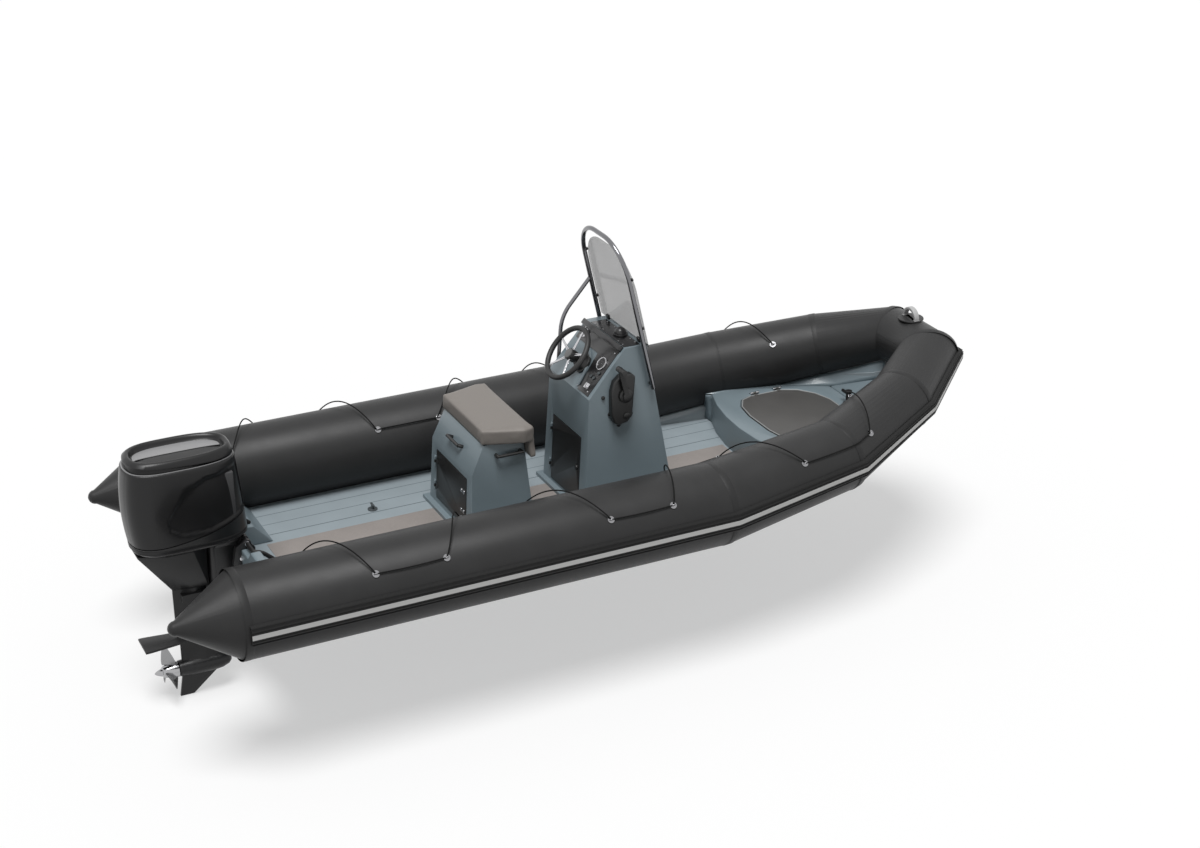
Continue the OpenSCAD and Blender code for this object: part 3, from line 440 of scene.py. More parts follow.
# ---- Hull, deck and stern ----
# One glass-reinforced moulding with a pale grey-blue gelcoat and a non-slip deck.
# Seams run along the deck, and a brown-grey mat lies down its middle.
hull_grp = look("hull_grp", (0.3, 0.34, 0.36), 0.3, coat=0.3, fleck=0.08)
skin("hull_skin", "vee_hull", "boat", hull_grp, angle=25)
deck_grp = look("deck_grp", (0.27, 0.315, 0.34), 0.55, grain=260, bump=0.5, fleck=0.16)
deck_tree = deck_grp.node_tree
deck_shader = deck_tree.nodes["Principled BSDF"]
deck_where = make_node(deck_tree, "ShaderNodeTexCoord", pick=3)
across = make_node(deck_tree, "ShaderNodeSeparateXYZ", Vector=deck_where).size()
inner_seam = (across - 0.3).size() < 0.0035
middle_seam = (across - 0.43).size() < 0.0025
outer_seam = (across - 0.55).size() < 0.0025
seam = inner_seam + middle_seam + outer_seam
gelcoat = Flow(deck_tree, deck_shader.inputs["Base Color"].links[0].from_socket)
seam_colour = (0.03, 0.045, 0.05, 1)
lined_deck = make_node(deck_tree, "ShaderNodeMix", {"data_type": "RGBA"}, pick=2,
                       i0=seam * 0.75, i6=gelcoat, i7=seam_colour)
deck_tree.links.new(lined_deck.socket, deck_shader.inputs["Base Color"])
skin("deck_skin", "deck", "boat", deck_grp, angle=25)
deck_mat = look("deck_mat", (0.27, 0.245, 0.23), 0.7, grain=160, bump=0.8, fleck=0.3)
skin("deck_mat_skin", "deck_strip", "boat", deck_mat, edge=0.001)
moulding_grp = look("moulding_grp", (0.178, 0.224, 0.248), 0.4, coat=0.12, grain=1200, fleck=0.1)
skin("stern_moulding_skin", "stern_moulding", "boat", moulding_grp, edge=0.012, segments=4)
skin("transom_skin", "transom", "boat", moulding_grp, edge=0.008, segments=3)
fitting_metal = look("fitting_metal", (0.62, 0.62, 0.64), 0.16, metal=1.0, fleck=0.05)
for part in ("bow_eye", "stern_eyes"):
    skin(part + "_skin", part, "boat", fitting_metal, edge=0.0015)
latch_plastic = look("latch_plastic", (0.06, 0.07, 0.075), 0.4, fleck=0.1)
skin("deck_fitting_skin", "deck_fittings", "boat", latch_plastic, edge=0.001)


# ---- Bow locker ----
# A raised moulding with a curved step, a dark lid on two hinges and a black mooring bitt.
# A pale seal runs round the lid's edge.
for part in ("bow_locker", "bow_deck"):
    skin(part + "_skin", part, "boat", moulding_grp, edge=0.007, segments=3)
# The moulding between locker and tubes closes the gap from the locker's top edge to the tube's face.
locker_aft = -1.353
locker_edge_z = 0.2995
clear_of_tube = 0.001
edge_line = [(0.53, locker_aft, locker_edge_z), (0.53, -1.49, locker_edge_z), (0.482, -1.68, locker_edge_z),
             (0.432, -1.88, locker_edge_z), (0.366, -1.995, locker_edge_z), (0.3, -2.11, locker_edge_z),
             (0.27, -2.16, 0.301), (0.18, -2.26, 0.346), (0.07, -2.378, 0.395)]
pairs = []
for x, y, z in edge_line[:-1]:
    centre = on_tube(y, 0, clear_of_tube)
    radius = on_tube(y, 90, clear_of_tube).z - centre.z
    sunk = math.degrees(math.asin(min(0.8, max(0.0, (centre.z - z) / radius))))
    pairs.append((Vector((x - 0.004, y, z)), on_tube(y, 180 + sunk, clear_of_tube)))
pairs.append((Vector(edge_line[-1]), weld_point(side_joints - 1, 228, clear_of_tube)))
pairs += [(Vector((-a.x, a.y, a.z)), Vector((-b.x, b.y, b.z))) for a, b in reversed(pairs)]
rows = []
for near, far in pairs:
    rows.append([near.lerp(far, t / 4) for t in range(5)])
ends = []
for side in (1, -1):
    wall_rows = []
    for step in range(7):
        face = on_tube(locker_aft, 200 + 8 * step, clear_of_tube)
        face = Vector((face.x * side, face.y, min(face.z, locker_edge_z)))
        wall_rows.append([Vector((side * 0.526, locker_aft, face.z)), face])
    wall_rows.append([Vector((side * 0.526, locker_aft, 0.101)), Vector((side * 0.66, locker_aft, 0.101))])
    ends.append(wall_rows)
fillet = woven_bands("bow_side_moulding", [rows] + ends, False, "boat", moulding_grp)
choose(fillet)
wall = fillet.modifiers.new("wall", "SOLIDIFY")
wall.thickness = 0.004
wall.offset = 0
bpy.ops.object.modifier_apply(modifier="wall")
lid_plastic = look("lid_plastic", (0.072, 0.07, 0.067), 0.5, grain=300, bump=0.5, fleck=0.2)
skin("lid_skin", "locker_lid", "locker_lid", lid_plastic, edge=0.002)
skin("hinge_skin", "locker_hinges", "boat", fitting_metal, edge=0.001)
skin("lid_latch_skin", "locker_latch", "locker_lid", fitting_metal, edge=0.001)
black_plastic = look("black_plastic", (0.012, 0.012, 0.012), 0.35, grain=1200, bump=0.1, fleck=0.2)
skin("bitt_skin", "bow_cleat", "boat", black_plastic, edge=0.003)
lid_half = [(0.12, -1.4), (0.27, -1.425), (0.36, -1.48), (0.392, -1.56), (0.392, -1.79), (0.34, -1.89),
            (0.24, -1.965), (0.12, -2.0)]
lid_middle = -1.7
seal_inset = 0.985
seal_z = 0.3005
seal_half_wide = 0.0035
seal_half_high = 0.0025
rim = []
for x, y in lid_half + [(-x, y) for x, y in reversed(lid_half)]:
    centre = Vector((x * seal_inset, lid_middle + (y - lid_middle) * seal_inset, seal_z))
    out = Vector((x, y - lid_middle, 0)).normalized()
    ring = []
    for step in range(6):
        turn = step * math.pi / 3
        beside = out * (seal_half_wide * math.cos(turn))
        ring.append(centre + beside + upright * (seal_half_high * math.sin(turn)))
    rim.append(ring)
seal = look("lid_seal", (0.3, 0.31, 0.31), 0.5)
woven_bands("lid_seal", [rim], True, "locker_lid", seal, looped=True)


# ---- Seat ----
# A tapered glass-reinforced box with a flared foot, a black door and black grab handles.
# The cushion is foam in plain taupe vinyl, turned down over the front edge.
skin("seat_box_skin", "seat_box", "boat", moulding_grp, edge=0.012, segments=4)
skin("seat_door_skin", "seat_door", "seat_door", black_plastic, edge=0.003)
bright_latch = look("bright_latch", (0.3, 0.3, 0.31), 0.25, metal=0.9, fleck=0.05)
skin("seat_latch_skin", "seat_latches", "seat_door", bright_latch, edge=0.002)
skin("seat_handle_skin", "seat_handles", "boat", black_plastic, angle=40)
cushion_vinyl = look("cushion_vinyl", (0.2, 0.182, 0.166), 0.55, grain=420, bump=0.35, fleck=0.12)
cushion = skin("seat_cushion_skin", "seat_cushion", "boat", cushion_vinyl,
               edge=0.018, segments=4)
choose(cushion)
cushion_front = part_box("seat_cushion")[0].y
seat_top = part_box("seat_box")[1].z
most_swell = 0.009
fine_grid = cushion.modifiers.new("fine_grid", "REMESH")
fine_grid.mode = "VOXEL"
fine_grid.voxel_size = 0.007
bpy.ops.object.modifier_apply(modifier="fine_grid")
start = [v.co.copy() for v in cushion.data.vertices]
cloth = cushion.modifiers.new("stuffing", "CLOTH")
cloth.settings.use_pressure = True
cloth.settings.uniform_pressure_force = 4
cloth.settings.effector_weights.gravity = 0
for moment in range(1, 21):
    bpy.context.scene.frame_set(moment)
choose(cushion)
bpy.ops.object.modifier_apply(modifier="stuffing")
bpy.context.scene.frame_set(1)
for vertex, first in zip(cushion.data.vertices, start):
    move = vertex.co - first
    if move.length > most_swell:
        move = move.normalized() * most_swell
    vertex.co = first + move
    # The underside stays flat on the seat, and the turned-down front stays off it.
    if first.z < seat_top + 0.012 and first.y > cushion_front + 0.045:
        vertex.co.z = max(vertex.co.z, seat_top + 0.0005)
        vertex.co.z = max(vertex.co.z, first.z)
    if first.z < seat_top:
        vertex.co.y = min(vertex.co.y, first.y)
choose(cushion)
relax = cushion.modifiers.new("relax", "SMOOTH")
relax.factor = 0.5
relax.iterations = 6
bpy.ops.object.modifier_apply(modifier="relax")
bpy.ops.object.shade_smooth()


# ---- Console ----
# A tall tapered moulding with a black door aft and a raked dash on top.
# The dash carries a gauge, switches and the helm behind the wheel.
skin("console_skin", "console_body", "boat", moulding_grp, edge=0.012, segments=4)
skin("console_door_skin", "console_door", "console_door", black_plastic, edge=0.003)
dash_black = look("dash_black", (0.008, 0.008, 0.009), 0.3, coat=0.2, grain=900, fleck=0.2)
skin("dash_skin", "dash_panel", "boat", dash_black, edge=0.0012)
gauge_ring = look("gauge_ring", (0.62, 0.62, 0.64), 0.15, metal=1.0, fleck=0.04)
skin("gauge_skin", "gauges", "boat", gauge_ring, edge=0.0012)
skin("compass_skin", "compass", "boat", dash_black, edge=0.002)
skin("helm_skin", "helm_bezel", "boat", black_plastic, edge=0.002)
console_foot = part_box("console_body")[0].z
console_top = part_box("console_body")[1].z
console_half_wide = 0.298
console_taper = 0.04


def on_side(y, z, out):
    """A point off the console's starboard side."""
    share = (z - console_foot) / (console_top - console_foot)
    return Vector((console_taper * share - console_half_wide - out, y, z))


control_outline = [(-0.355, 0.945), (-0.33, 0.968), (-0.255, 0.965), (-0.215, 0.93), (-0.196, 0.87),
                   (-0.194, 0.73), (-0.21, 0.672), (-0.245, 0.655), (-0.3, 0.668), (-0.33, 0.7)]
control_faces = [[on_side(y, z, out) for y, z in control_outline] for out in (0.0005, 0.046)]
control = woven_bands("remote_skin", [control_faces], True, "boat", black_plastic)
soften(control, 0.009, 3)
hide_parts("remote_control")
skin("lever_skin", "throttle_lever", "boat", black_plastic, edge=0.004, segments=3)

# The dash's own frame starts at its lower edge and leans with its face.
dash_slope = math.radians(40.5 - 90)
dash_low = Vector((0, -0.07, 0.83))
dash_up = Vector((0, -math.cos(dash_slope), -math.sin(dash_slope)))
dash_out = Vector((0, -math.sin(dash_slope), math.cos(dash_slope)))


def on_dash(x, up, out):
    """A point of the dash: x to port, up along its slope, and out of its face."""
    return dash_low + Vector((x, 0, 0)) + dash_up * up + dash_out * out


def gather(name, parts, body, material, replaced=()):
    """Joins fresh parts into one finished piece at the origin."""
    bpy.ops.object.select_all(action="DESELECT")
    for part in parts:
        part.select_set(True)
    bpy.context.view_layer.objects.active = parts[0]
    if len(parts) > 1:
        bpy.ops.object.join()
    piece = bpy.context.view_layer.objects.active
    piece.name = name
    bpy.ops.object.transform_apply(location=True, rotation=True, scale=True)
    piece.data.materials.clear()
    piece.data.materials.append(material)
    bpy.ops.object.shade_smooth_by_angle(angle=math.radians(35))
    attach(piece, body)
    if replaced:
        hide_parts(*replaced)
    return piece


def turned(place, axis, radius, depth, edge=0.0, sides=32):
    """A turned piece: a cylinder along an axis, with its edges rounded over."""
    lean = Vector(axis).to_track_quat("Z", "Y").to_euler()
    bpy.ops.mesh.primitive_cylinder_add(vertices=sides, radius=radius, depth=depth, location=place,
                                        rotation=lean)
    piece = bpy.context.object
    if edge:
        soften(piece, edge)
    return piece


# A round gauge with nine ticks and a needle to starboard, and a smaller blank dial to port.
gauge_x = -0.165
gauge_up = 0.215
tick_circle = 0.021
dials = [turned(on_dash(gauge_x, gauge_up, 0.0062), dash_out, 0.0345, 0.006, sides=48),
         turned(on_dash(0.165, 0.3, 0.0072), dash_out, 0.022, 0.008, sides=48)]
gather("gauge_faces", dials, "boat", dash_black)
marks = []
for tick in range(9):
    turn = math.radians(-120 + tick * 30)
    spot = on_dash(gauge_x + tick_circle * math.sin(turn), gauge_up + tick_circle * math.cos(turn), 0.0102)
    marks.append(turned(spot, dash_out, 0.001, 0.0012, sides=8))
needle_middle = on_dash(gauge_x, gauge_up + 0.007, 0.0104)
marks.append(turned(needle_middle, Vector((0, -dash_out.z, dash_out.y)), 0.0007, 0.018, sides=8))
for x, up in ((-0.21, 0.035), (-0.21, 0.31), (0.2, 0.33), (0.2, 0.27), (-0.085, 0.03)):
    marks.append(turned(on_dash(x, up, 0.005), dash_out, 0.005, 0.003, edge=0.001, sides=16))
gather("dash_marks", marks, "boat", gauge_ring)
keys = []
for x, up in ((-0.15, 0.12), (-0.185, 0.12), (-0.2, 0.16)):
    keys.append(turned(on_dash(x, up, 0.009), dash_out, 0.011, 0.009, edge=0.002, sides=24))
gather("dash_keys", keys, "boat", latch_plastic)
# The black fascia lies on top of the console, with a raised lip along the dash's upper edge.
bpy.ops.mesh.primitive_cube_add(size=1, location=(-0.02, -0.365, console_top + 0.0012))
fascia = bpy.context.object
fascia.scale = (0.44, 0.105, 0.003)
bpy.ops.object.transform_apply(location=True, rotation=True, scale=True)
soften(fascia, 0.001)
bpy.ops.mesh.primitive_cube_add(size=1, location=on_dash(0, 0.352, 0.014), rotation=(dash_slope, 0, 0))
lip = bpy.context.object
lip.scale = (0.49, 0.036, 0.03)
bpy.ops.object.transform_apply(location=False, rotation=False, scale=True)
soften(lip, 0.006, 3)
gather("top_fascia", [fascia, lip], "boat", dash_black)
side_out = (-1, 0, console_taper)
discs = [turned(on_side(-0.285, 0.84, 0.053), side_out, 0.044, 0.016, edge=0.004, sides=48),
         turned(on_side(-0.29, 0.71, 0.049), side_out, 0.02, 0.008, edge=0.002, sides=32)]
gather("remote_disc", discs, "boat", black_plastic)
screws = []
for x in (-0.2, -0.14, 0.06, 0.16):
    for y in (-0.325, -0.405):
        screws.append(turned((x, y, console_top + 0.0035), (0, 0, 1), 0.005, 0.003, edge=0.001, sides=12))
gather("fascia_screws", screws, "boat", fitting_metal)
side_studs = []
for y, z in ((-0.16, 0.83), (-0.2, 0.72), (-0.34, 0.7), (-0.26, 0.64)):
    edge_x = console_taper * (z - 0.1) / 1.01 - console_half_wide
    side_studs.append(turned((edge_x - 0.004, y, z), side_out, 0.012, 0.009, edge=0.002, sides=20))
gather("side_fittings", side_studs, "boat", black_plastic)


def pipe(name, route, radius, body, material, replaced=()):
    """A bent round tube along a route, as a mesh."""
    line = bpy.data.curves.new(name, "CURVE")
    line.dimensions = "3D"
    line.bevel_depth = radius
    line.bevel_resolution = 5
    line.use_fill_caps = True
    spline = line.splines.new("POLY")
    spline.points.add(len(route) - 1)
    for place, point in zip(route, spline.points):
        point.co = (*place, 1)
    pipe_curve = bpy.data.objects.new(name, line)
    bpy.context.scene.collection.objects.link(pipe_curve)
    choose(pipe_curve)
    bpy.ops.object.convert(target="MESH")
    piece = bpy.context.object
    piece.data.materials.append(material)
    bpy.ops.object.shade_smooth_by_angle(angle=math.radians(40))
    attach(piece, body)
    if replaced:
        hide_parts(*replaced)
    return piece


# A low moulded ridge runs up beside the wheel and turns across the top of the dash.
ridge_low = Vector((-0.086, 0.03))
ridge_corner = Vector((-0.045, 0.262))
ridge_far = Vector((0.075, 0.235))
ridge = []
for step in range(15):
    t = step / 14
    spot = ridge_low.lerp(ridge_corner, t).lerp(ridge_corner.lerp(ridge_far, t), t)
    ridge.append(on_dash(spot.x, spot.y, 0.003))
pipe("dash_ridge", ridge, 0.011, "boat", moulding_grp)


# ---- Steering wheel ----
# A padded black rim on five slim bright spokes, with a grey cap on the hub.
# It turns on a pin behind the dash.
wheel_centre = on_dash(0, 0.15, 0.139)
wheel_radius = 0.165
wheel_lean = dash_out.to_track_quat("Z", "Y")
bpy.ops.mesh.primitive_torus_add(location=wheel_centre, rotation=wheel_lean.to_euler(),
                                 major_radius=wheel_radius, minor_radius=0.0162,
                                 major_segments=96, minor_segments=20)
rim_grip = look("rim_grip", (0.012, 0.012, 0.012), 0.5, grain=500, bump=0.4)
gather("wheel_rim", [bpy.context.object], "steering_wheel", rim_grip, ("steering_wheel",))
wheel_frame = wheel_lean.to_matrix()
spoke_count = 5
# Each spoke is a pair of rods that draw together towards the rim.
spokes = []
for spoke in range(spoke_count):
    turn = math.radians(90 + 360 / spoke_count * spoke)
    aim = wheel_frame @ Vector((math.cos(turn), math.sin(turn), 0))
    for sway in (-0.006, 0.006):
        beside = wheel_frame @ Vector((-math.sin(turn), math.cos(turn), 0)) * sway
        inner = wheel_centre - dash_out * 0.022 + aim * 0.03 + beside
        outer = wheel_centre - dash_out * 0.004 + aim * 0.156 + beside * 0.3
        spokes.append(turned((inner + outer) / 2, outer - inner, 0.0042, (outer - inner).length, sides=14))
gather("wheel_spokes", spokes, "steering_wheel", gauge_ring)
hub = [turned(wheel_centre - dash_out * 0.034, dash_out, 0.036, 0.052, edge=0.004, sides=48)]
gather("wheel_hub", hub, "steering_wheel", black_plastic)
cap_grey = look("cap_grey", (0.12, 0.12, 0.12), 0.35, fleck=0.08)
cap = [turned(wheel_centre - dash_out * 0.006, dash_out, 0.03, 0.008, edge=0.003, sides=48)]
gather("wheel_cap", cap, "steering_wheel", cap_grey)


# ---- Windscreen ----
# A clear smoked panel with rounded top corners, bolted to a bent stainless hoop.
# The hoop's feet stand off the console's sides.
screen_clear = bpy.data.materials.new("screen_clear")
screen_clear.use_nodes = True
screen_tree = screen_clear.node_tree
screen_shader = screen_tree.nodes["Principled BSDF"]
screen_where = make_node(screen_tree, "ShaderNodeTexCoord", pick=3)
haze = make_node(screen_tree, "ShaderNodeTexNoise", Vector=screen_where, Scale=3.0, Detail=2.0)
screen_shader.inputs["Base Color"].default_value = (0.12, 0.125, 0.13, 1)
screen_shader.inputs["IOR"].default_value = 1.3
screen_tree.links.new((haze * 0.1 + 0.05).socket, screen_shader.inputs["Roughness"])
screen_tree.links.new((haze * 0.06 + 0.43).socket, screen_shader.inputs["Alpha"])
screen_rake = math.radians(13)
screen_low, screen_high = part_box("windscreen")
hoop_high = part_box("screen_hoop")[1]


def rounded_arch(foot_w, top_w, height, corner):
    """An upright arch in its own plane: (across, up) points from the port foot to the starboard foot."""
    points = [(foot_w, 0)]
    for step in range(13):
        turn = math.pi / 2 * step / 12
        points.append((top_w - corner + corner * math.cos(turn), height - corner + corner * math.sin(turn)))
    return points + [(-x, u) for x, u in reversed(points)]


def raked(x, up, y_foot, z_foot):
    """A point of the raked plane that the panel and the hoop lie in, up along its slope."""
    rise = up * math.cos(screen_rake)
    return Vector((x, y_foot + rise * math.tan(screen_rake), z_foot + rise))


screen_foot_y = -0.44
screen_half_thick = 0.0026
screen_up = (screen_high.z - screen_low.z) / math.cos(screen_rake) - 0.002
screen_faces = []
for shift in (-screen_half_thick, screen_half_thick):
    screen_faces.append([raked(x, up, screen_foot_y + shift, screen_low.z + 0.001)
                         for x, up in rounded_arch(0.306, 0.306, screen_up, 0.235)])
panel = woven_bands("screen_skin", [screen_faces], True, "boat", screen_clear)
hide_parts("windscreen")
tube_chrome = look("tube_chrome", (0.2, 0.2, 0.21), 0.13, metal=1.0, fleck=0.03)
hoop_radius = 0.014
hoop_foot_y = -0.478
hoop_foot_z = 0.841
hoop_up = (hoop_high.z - hoop_radius - hoop_foot_z) / math.cos(screen_rake)
arch = [raked(x, up, hoop_foot_y, hoop_foot_z) for x, up in rounded_arch(0.302, 0.292, hoop_up, 0.23)]
pipe("hoop_skin", arch, hoop_radius, "boat", tube_chrome, ("screen_hoop",))
# The port brace runs aft and down from the hoop, and bends at its knee to the console's side.
brace_top = Vector((0.296, -0.36, 1.365))
brace_knee = Vector((0.3, -0.165, 1.14))
brace_foot = Vector((0.293, -0.138, 0.845))
brace_radius = 0.0125
bend_start = 0.7
bend_end = 0.3
bend = [brace_top, brace_top.lerp(brace_knee, bend_start)]
for step in range(1, 8):
    t = step / 8
    upper = brace_top.lerp(brace_knee, bend_start + (1 - bend_start) * t)
    bend.append(upper.lerp(brace_knee.lerp(brace_foot, bend_end * t), t))
bend += [brace_knee.lerp(brace_foot, bend_end), brace_foot]
pipe("hoop_brace", bend, brace_radius, "boat", tube_chrome)
skin("screen_fitting_skin", "screen_fittings", "boat", black_plastic, edge=0.001)


# ---- Motor mount ----
# Black painted cast brackets clamp the motor on the transom.
# The swivel turns on the tilt tube, and a ram stands between the bracket's cheeks.
bracket_metal = look("bracket_metal", (0.014, 0.014, 0.015), 0.38, grain=700, bump=0.3, fleck=0.3)
skin("clamp_skin", "clamp_bracket", "boat", bracket_metal, edge=0.004, segments=3)
skin("swivel_skin", "swivel_bracket", "swivel", bracket_metal, edge=0.003)
ram_metal = look("ram_metal", (0.3, 0.3, 0.31), 0.2, metal=1.0, fleck=0.05)
skin("ram_skin", "tilt_ram", "boat", ram_metal, angle=40)
bolts = []
for x in (-0.1175, 0.1175):
    for z in (0.19, 0.05, 0.0):
        bolts.append(turned((x, 2.0665, z), (0, 1, 0), 0.011, 0.012, edge=0.002, sides=6))
    hand = math.copysign(1, x)
    for y, z in ((2.03, 0.23), (1.995, 0.314)):
        bolts.append(turned((0.137 * hand, y, z), (hand, 0, 0), 0.015, 0.01, edge=0.002, sides=24))
gather("mount_bolts", bolts, "boat", fitting_metal)
# A short hose curves forward from each end of the tilt tube, in one smooth curve through its stops.
hose_rubber = look("hose_rubber", (0.009, 0.009, 0.009), 0.5, grain=500, bump=0.3, shine=0.3)
hose_radius = 0.0125
hose_stops = [(0.145, 1.995, 0.314), (0.2, 1.995, 0.313), (0.235, 1.985, 0.308), (0.25, 1.945, 0.298),
              (0.255, 1.9, 0.262), (0.262, 1.86, 0.226)]
for side, word in ((1, "port"), (-1, "starboard")):
    stops = [Vector((side * x, y, z)) for x, y, z in hose_stops]
    way = []
    for number in range(len(stops) - 1):
        before = stops[max(0, number - 1)]
        here = stops[number]
        ahead = stops[number + 1]
        after = stops[min(len(stops) - 1, number + 2)]
        slant = ahead - before
        curl = 2 * before - 5 * here + 4 * ahead - after
        swerve = 3 * here - before - 3 * ahead + after
        for step in range(8):
            t = step / 8
            way.append(0.5 * (2 * here + slant * t + curl * t ** 2 + swerve * t ** 3))
    pipe("steering_hose_" + word, way, hose_radius, "boat", hose_rubber)


# ---- Motor ----
# A black gloss cowl over the engine, a cast midsection and a gearcase with an aluminium propeller.
# The cowl's top is dished inside a raised rim.
leg_metal = look("leg_metal", (0.014, 0.014, 0.0145), 0.38, coat=0.05, grain=900, fleck=0.2, shine=0.3)
skin("leg_skin", "motor_leg", "motor", leg_metal, edge=0.004, segments=3, angle=35)
cowl_plastic = look("cowl_plastic", (0.011, 0.011, 0.0115), 0.34, coat=0.06, grain=1200,
                    fleck=0.15, shine=0.3)
propeller_metal = look("propeller_metal", (0.3, 0.3, 0.305), 0.28, metal=0.9, fleck=0.1)
hub_chrome = look("hub_chrome", (0.4, 0.4, 0.41), 0.12, metal=1.0, fleck=0.04)
hub_low, hub_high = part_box("propeller")
hub_z = (hub_low.z + hub_high.z) / 2
# The hub's profile, from its front: distance along the shaft and radius.
hub_profile = [(0.0, 0.028), (0.001, 0.042), (0.006, 0.046), (0.03, 0.045), (0.06, 0.04), (0.088, 0.034),
               (0.095, 0.03), (0.097, 0.024), (0.112, 0.019), (0.13, 0.011), (0.139, 0.004),
               (0.1405, 0.0005)]
hub_rings = []
for along, radius in hub_profile:
    ring = []
    for step in range(48):
        turn = step * math.pi / 24
        ring.append(Vector((radius * math.cos(turn), hub_low.y + along, hub_z + radius * math.sin(turn))))
    hub_rings.append(ring)
woven_bands("propeller_hub", [hub_rings], True, "propeller", hub_chrome)
blade_count = 3
blade_root = 0.04
blade_tip = 0.1495
blade_pitch = 0.34
blade_rows = []
for number in range(blade_count):
    group = []
    for station in range(13):
        share = station / 12
        radius = blade_root + (blade_tip - blade_root) * share
        chord = 0.105 * math.sin(math.pi * min(1.0, 0.3 + 0.66 * share)) ** 0.7 + 0.006
        pitch = math.atan(blade_pitch / (2 * math.pi * radius))
        thick = 0.0045 * (1 - 0.72 * share)
        ring = []
        for step in range(20):
            turn = 2 * math.pi * step / 20
            across = 0.5 * chord * math.cos(turn)
            lift = thick * math.sin(turn)
            round_shaft = across * math.cos(pitch) - lift * math.sin(pitch)
            swing = 2 * math.pi * number / blade_count + 0.35 * share + round_shaft / radius
            push = across * math.sin(pitch) + lift * math.cos(pitch) + 0.05 + 0.012 * share
            z = hub_z + radius * math.cos(swing)
            ring.append(Vector((radius * math.sin(swing), hub_low.y + push, z)))
        group.append(ring)
    blade_rows.append(group)
blades = woven_bands("propeller_blades", blade_rows, True, "propeller", propeller_metal)
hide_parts("propeller")

# The engine block inside the cowl takes a plain painted finish.
engine_metal = look("engine_metal", (0.05, 0.05, 0.052), 0.5, grain=500, bump=0.4)
skin("engine_skin", "powerhead", "motor", engine_metal, edge=0.006)

cowl_low, cowl_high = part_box("top_cowl")
mid_y = (cowl_low.y + cowl_high.y) / 2
half_long = (cowl_high.y - cowl_low.y) / 2 - 0.004
half_wide = cowl_high.x - 0.004
shoulder_z = cowl_high.z - 0.075


def seam_height(y):
    """The cowl's lower seam: level aft and sweeping up towards the front."""
    forward = (mid_y + half_long - y) / (2 * half_long)
    return cowl_low.z + 0.012 + 0.11 * forward ** 2.2


facet_corners = [(2.36, 0.475), (2.43, 0.52), (2.44, 0.575), (2.33, 0.735), (2.22, 0.785), (1.9, 0.83),
                 (1.9, 0.56), (2.2, 0.47)]
facet_edge = 0.006
facet_depth = 0.009
ring_points = 384


def facet(y, z):
    """Depth of the sunk panel on each side, a leaning polygon with soft edges."""
    inside = 1.0
    for (y0, z0), (y1, z1) in zip(facet_corners, facet_corners[1:] + facet_corners[:1]):
        span = math.hypot(y1 - y0, z1 - z0)
        gap = ((y1 - y0) * (z - z0) - (z1 - z0) * (y - y0)) / span
        inside = min(inside, gap / facet_edge)
    return facet_depth * max(0.0, min(1.0, inside))


def cowl_ring(height, inset, count=ring_points):
    """One ring of the cowl; height is a level, or a function that gives the level at each y."""
    ring = []
    for step in range(count):
        turn = 2 * math.pi * step / count
        c, s = math.cos(turn), math.sin(turn)
        x = math.copysign(abs(c) ** 0.62, c)
        y = math.copysign(abs(s) ** 0.55, s)
        level = height(mid_y + y * half_long) if callable(height) else height
        rise = max(0.0, level - cowl_low.z) / (cowl_high.z - cowl_low.z)
        barrel = 1 - 0.05 * (2 * rise - 0.75) ** 2 - 0.05 * rise ** 3
        nose = 1 - 0.16 * max(0.0, -y) ** 2 - 0.05 * max(0.0, y) ** 4
        lean = 0.05 * rise if y < 0 else -0.045 * rise ** 3 - 0.03 * (1 - rise) ** 3
        px = x * (half_wide * barrel * nose - inset)
        py = mid_y + y * (half_long - inset) + abs(y) * lean
        if y > 0.6:
            py += 0.006 * max(0.0, 1 - abs(px) / 0.07) - 0.004
        if abs(x) > 0.5:
            px -= math.copysign(facet(py, level) * min(1.0, abs(x) * 3), px)
        ring.append(Vector((px, py, level)))
    return ring


pan_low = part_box("lower_cowl")[0].z
# Each ring of the pan: its drop below the cowl and its inset, then two rings at the pan's foot.
pan_steps = [(0.0005, 0.006), (0.001, 0.0035), (0.004, 0.002), (0.016, 0.001), (0.019, 0.0035),
             (0.021, 0.0035), (0.024, 0.002), (0.034, 0.008), (0.044, 0.022)]
pan_levels = [(cowl_low.z - drop, inset) for drop, inset in pan_steps]
pan_levels += [(pan_low + 0.004, 0.042), (pan_low + 0.0005, 0.056)]


def below_seam(share):
    """Levels between the cowl's foot and its seam."""
    return lambda y: cowl_low.z + 0.0005 + (seam_height(y) - 0.004 - cowl_low.z) * share


def above_seam(share):
    """Levels between the cowl's seam and its shoulder."""
    return lambda y: (seam_height(y) + 0.004) * (1 - share) + shoulder_z * share


# The cowl's rings from its foot up: level and inset. A groove marks the seam.
levels = [(below_seam(share), 0.003 * (1 - share)) for share in (0, 0.5, 1)]
levels += [(lambda y: seam_height(y) - 0.002, 0.005), (lambda y: seam_height(y) + 0.002, 0.005)]
side_rows = 31
levels += [(above_seam(row / (side_rows - 1)), 0.0) for row in range(side_rows)]


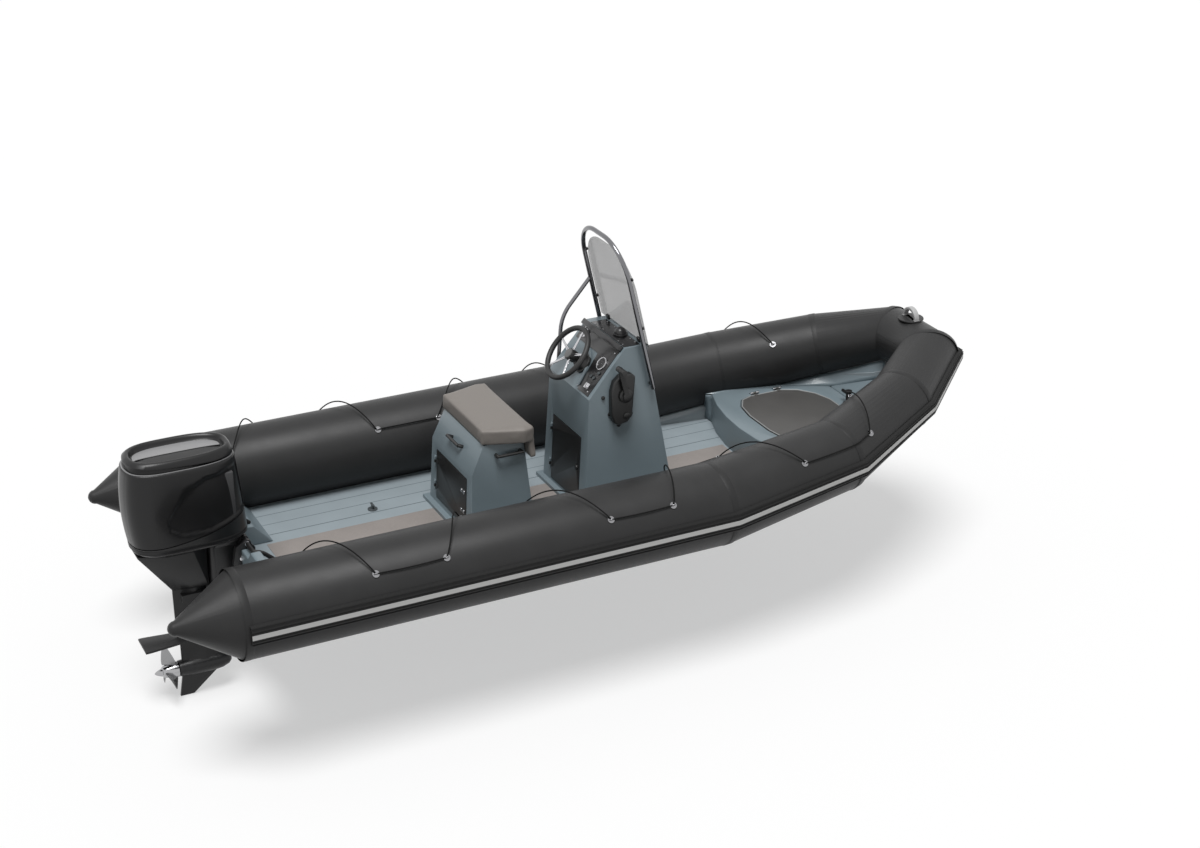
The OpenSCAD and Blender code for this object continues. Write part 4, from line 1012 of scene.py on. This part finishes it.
def lip_height(y):
    """The rim's lower edge: it stands well off the shoulder aft and closes on it forward."""
    return shoulder_z + 0.02 + 0.024 * max(0.0, min(1.0, (y - mid_y) / half_long * 0.7 + 0.4))


levels += [(shoulder_z + 0.006, 0.001), (shoulder_z + 0.012, 0.006), (shoulder_z + 0.014, 0.022)]
levels += [(lambda y: lip_height(y) - 0.002, 0.028), (lip_height, 0.012)]
levels += [(lambda y: lip_height(y) + 0.003, 0.006), (lambda y: lip_height(y) + 0.009, 0.005)]
# The rim and the dish inside it: drop below the cowl's top, and inset.
dish_steps = [(0.012, 0.012), (0.004, 0.02), (0.002, 0.028), (0.006, 0.038), (0.018, 0.046), (0.032, 0.054),
              (0.038, 0.066), (0.036, 0.11), (0.034, 0.14)]
levels += [(cowl_high.z - drop, inset) for drop, inset in dish_steps]
pan_rings = [cowl_ring(height, inset) for height, inset in pan_levels]
pan = woven_bands("pan_skin", [pan_rings], True, "motor", cowl_plastic)
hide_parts("lower_cowl")
cowl_rings = [cowl_ring(height, inset) for height, inset in levels]
cowl = woven_bands("cowl_shell", [cowl_rings], True, "motor", cowl_plastic)
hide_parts("top_cowl")
trim_grey = look("trim_grey", (0.27, 0.27, 0.275), 0.35, grain=1200, fleck=0.08)
# A thin grey line runs round the shoulder, as a band of four corners swept round the cowl.
line_low = shoulder_z + 0.0125
line_high = shoulder_z + 0.0145
line_rings = [cowl_ring(line_low, 0.0045), cowl_ring(line_high, 0.0045), cowl_ring(line_high, 0.012),
              cowl_ring(line_low, 0.012)]
line_bands = [[ring[i] for ring in line_rings] for i in range(ring_points)]
woven_bands("cowl_trim_line", [line_bands], True, "motor", trim_grey, looped=True)
# A grey crescent lies along the port side of the dish.
crescent_thick = upright * 0.0025
dish_edge = [p for p in cowl_ring(cowl_high.z - 0.0335, 0.062, 96) if p.x > -0.01]
bed = []
for p in sorted(dish_edge, key=lambda q: q.y):
    inner = Vector((max(0.0, p.x * 0.2 - 0.01) - 0.004, p.y, p.z))
    bed.append([inner, p, p + crescent_thick, inner + crescent_thick])
woven_bands("cowl_crescent", [bed], True, "motor", trim_grey)

bpy.context.view_layer.update()
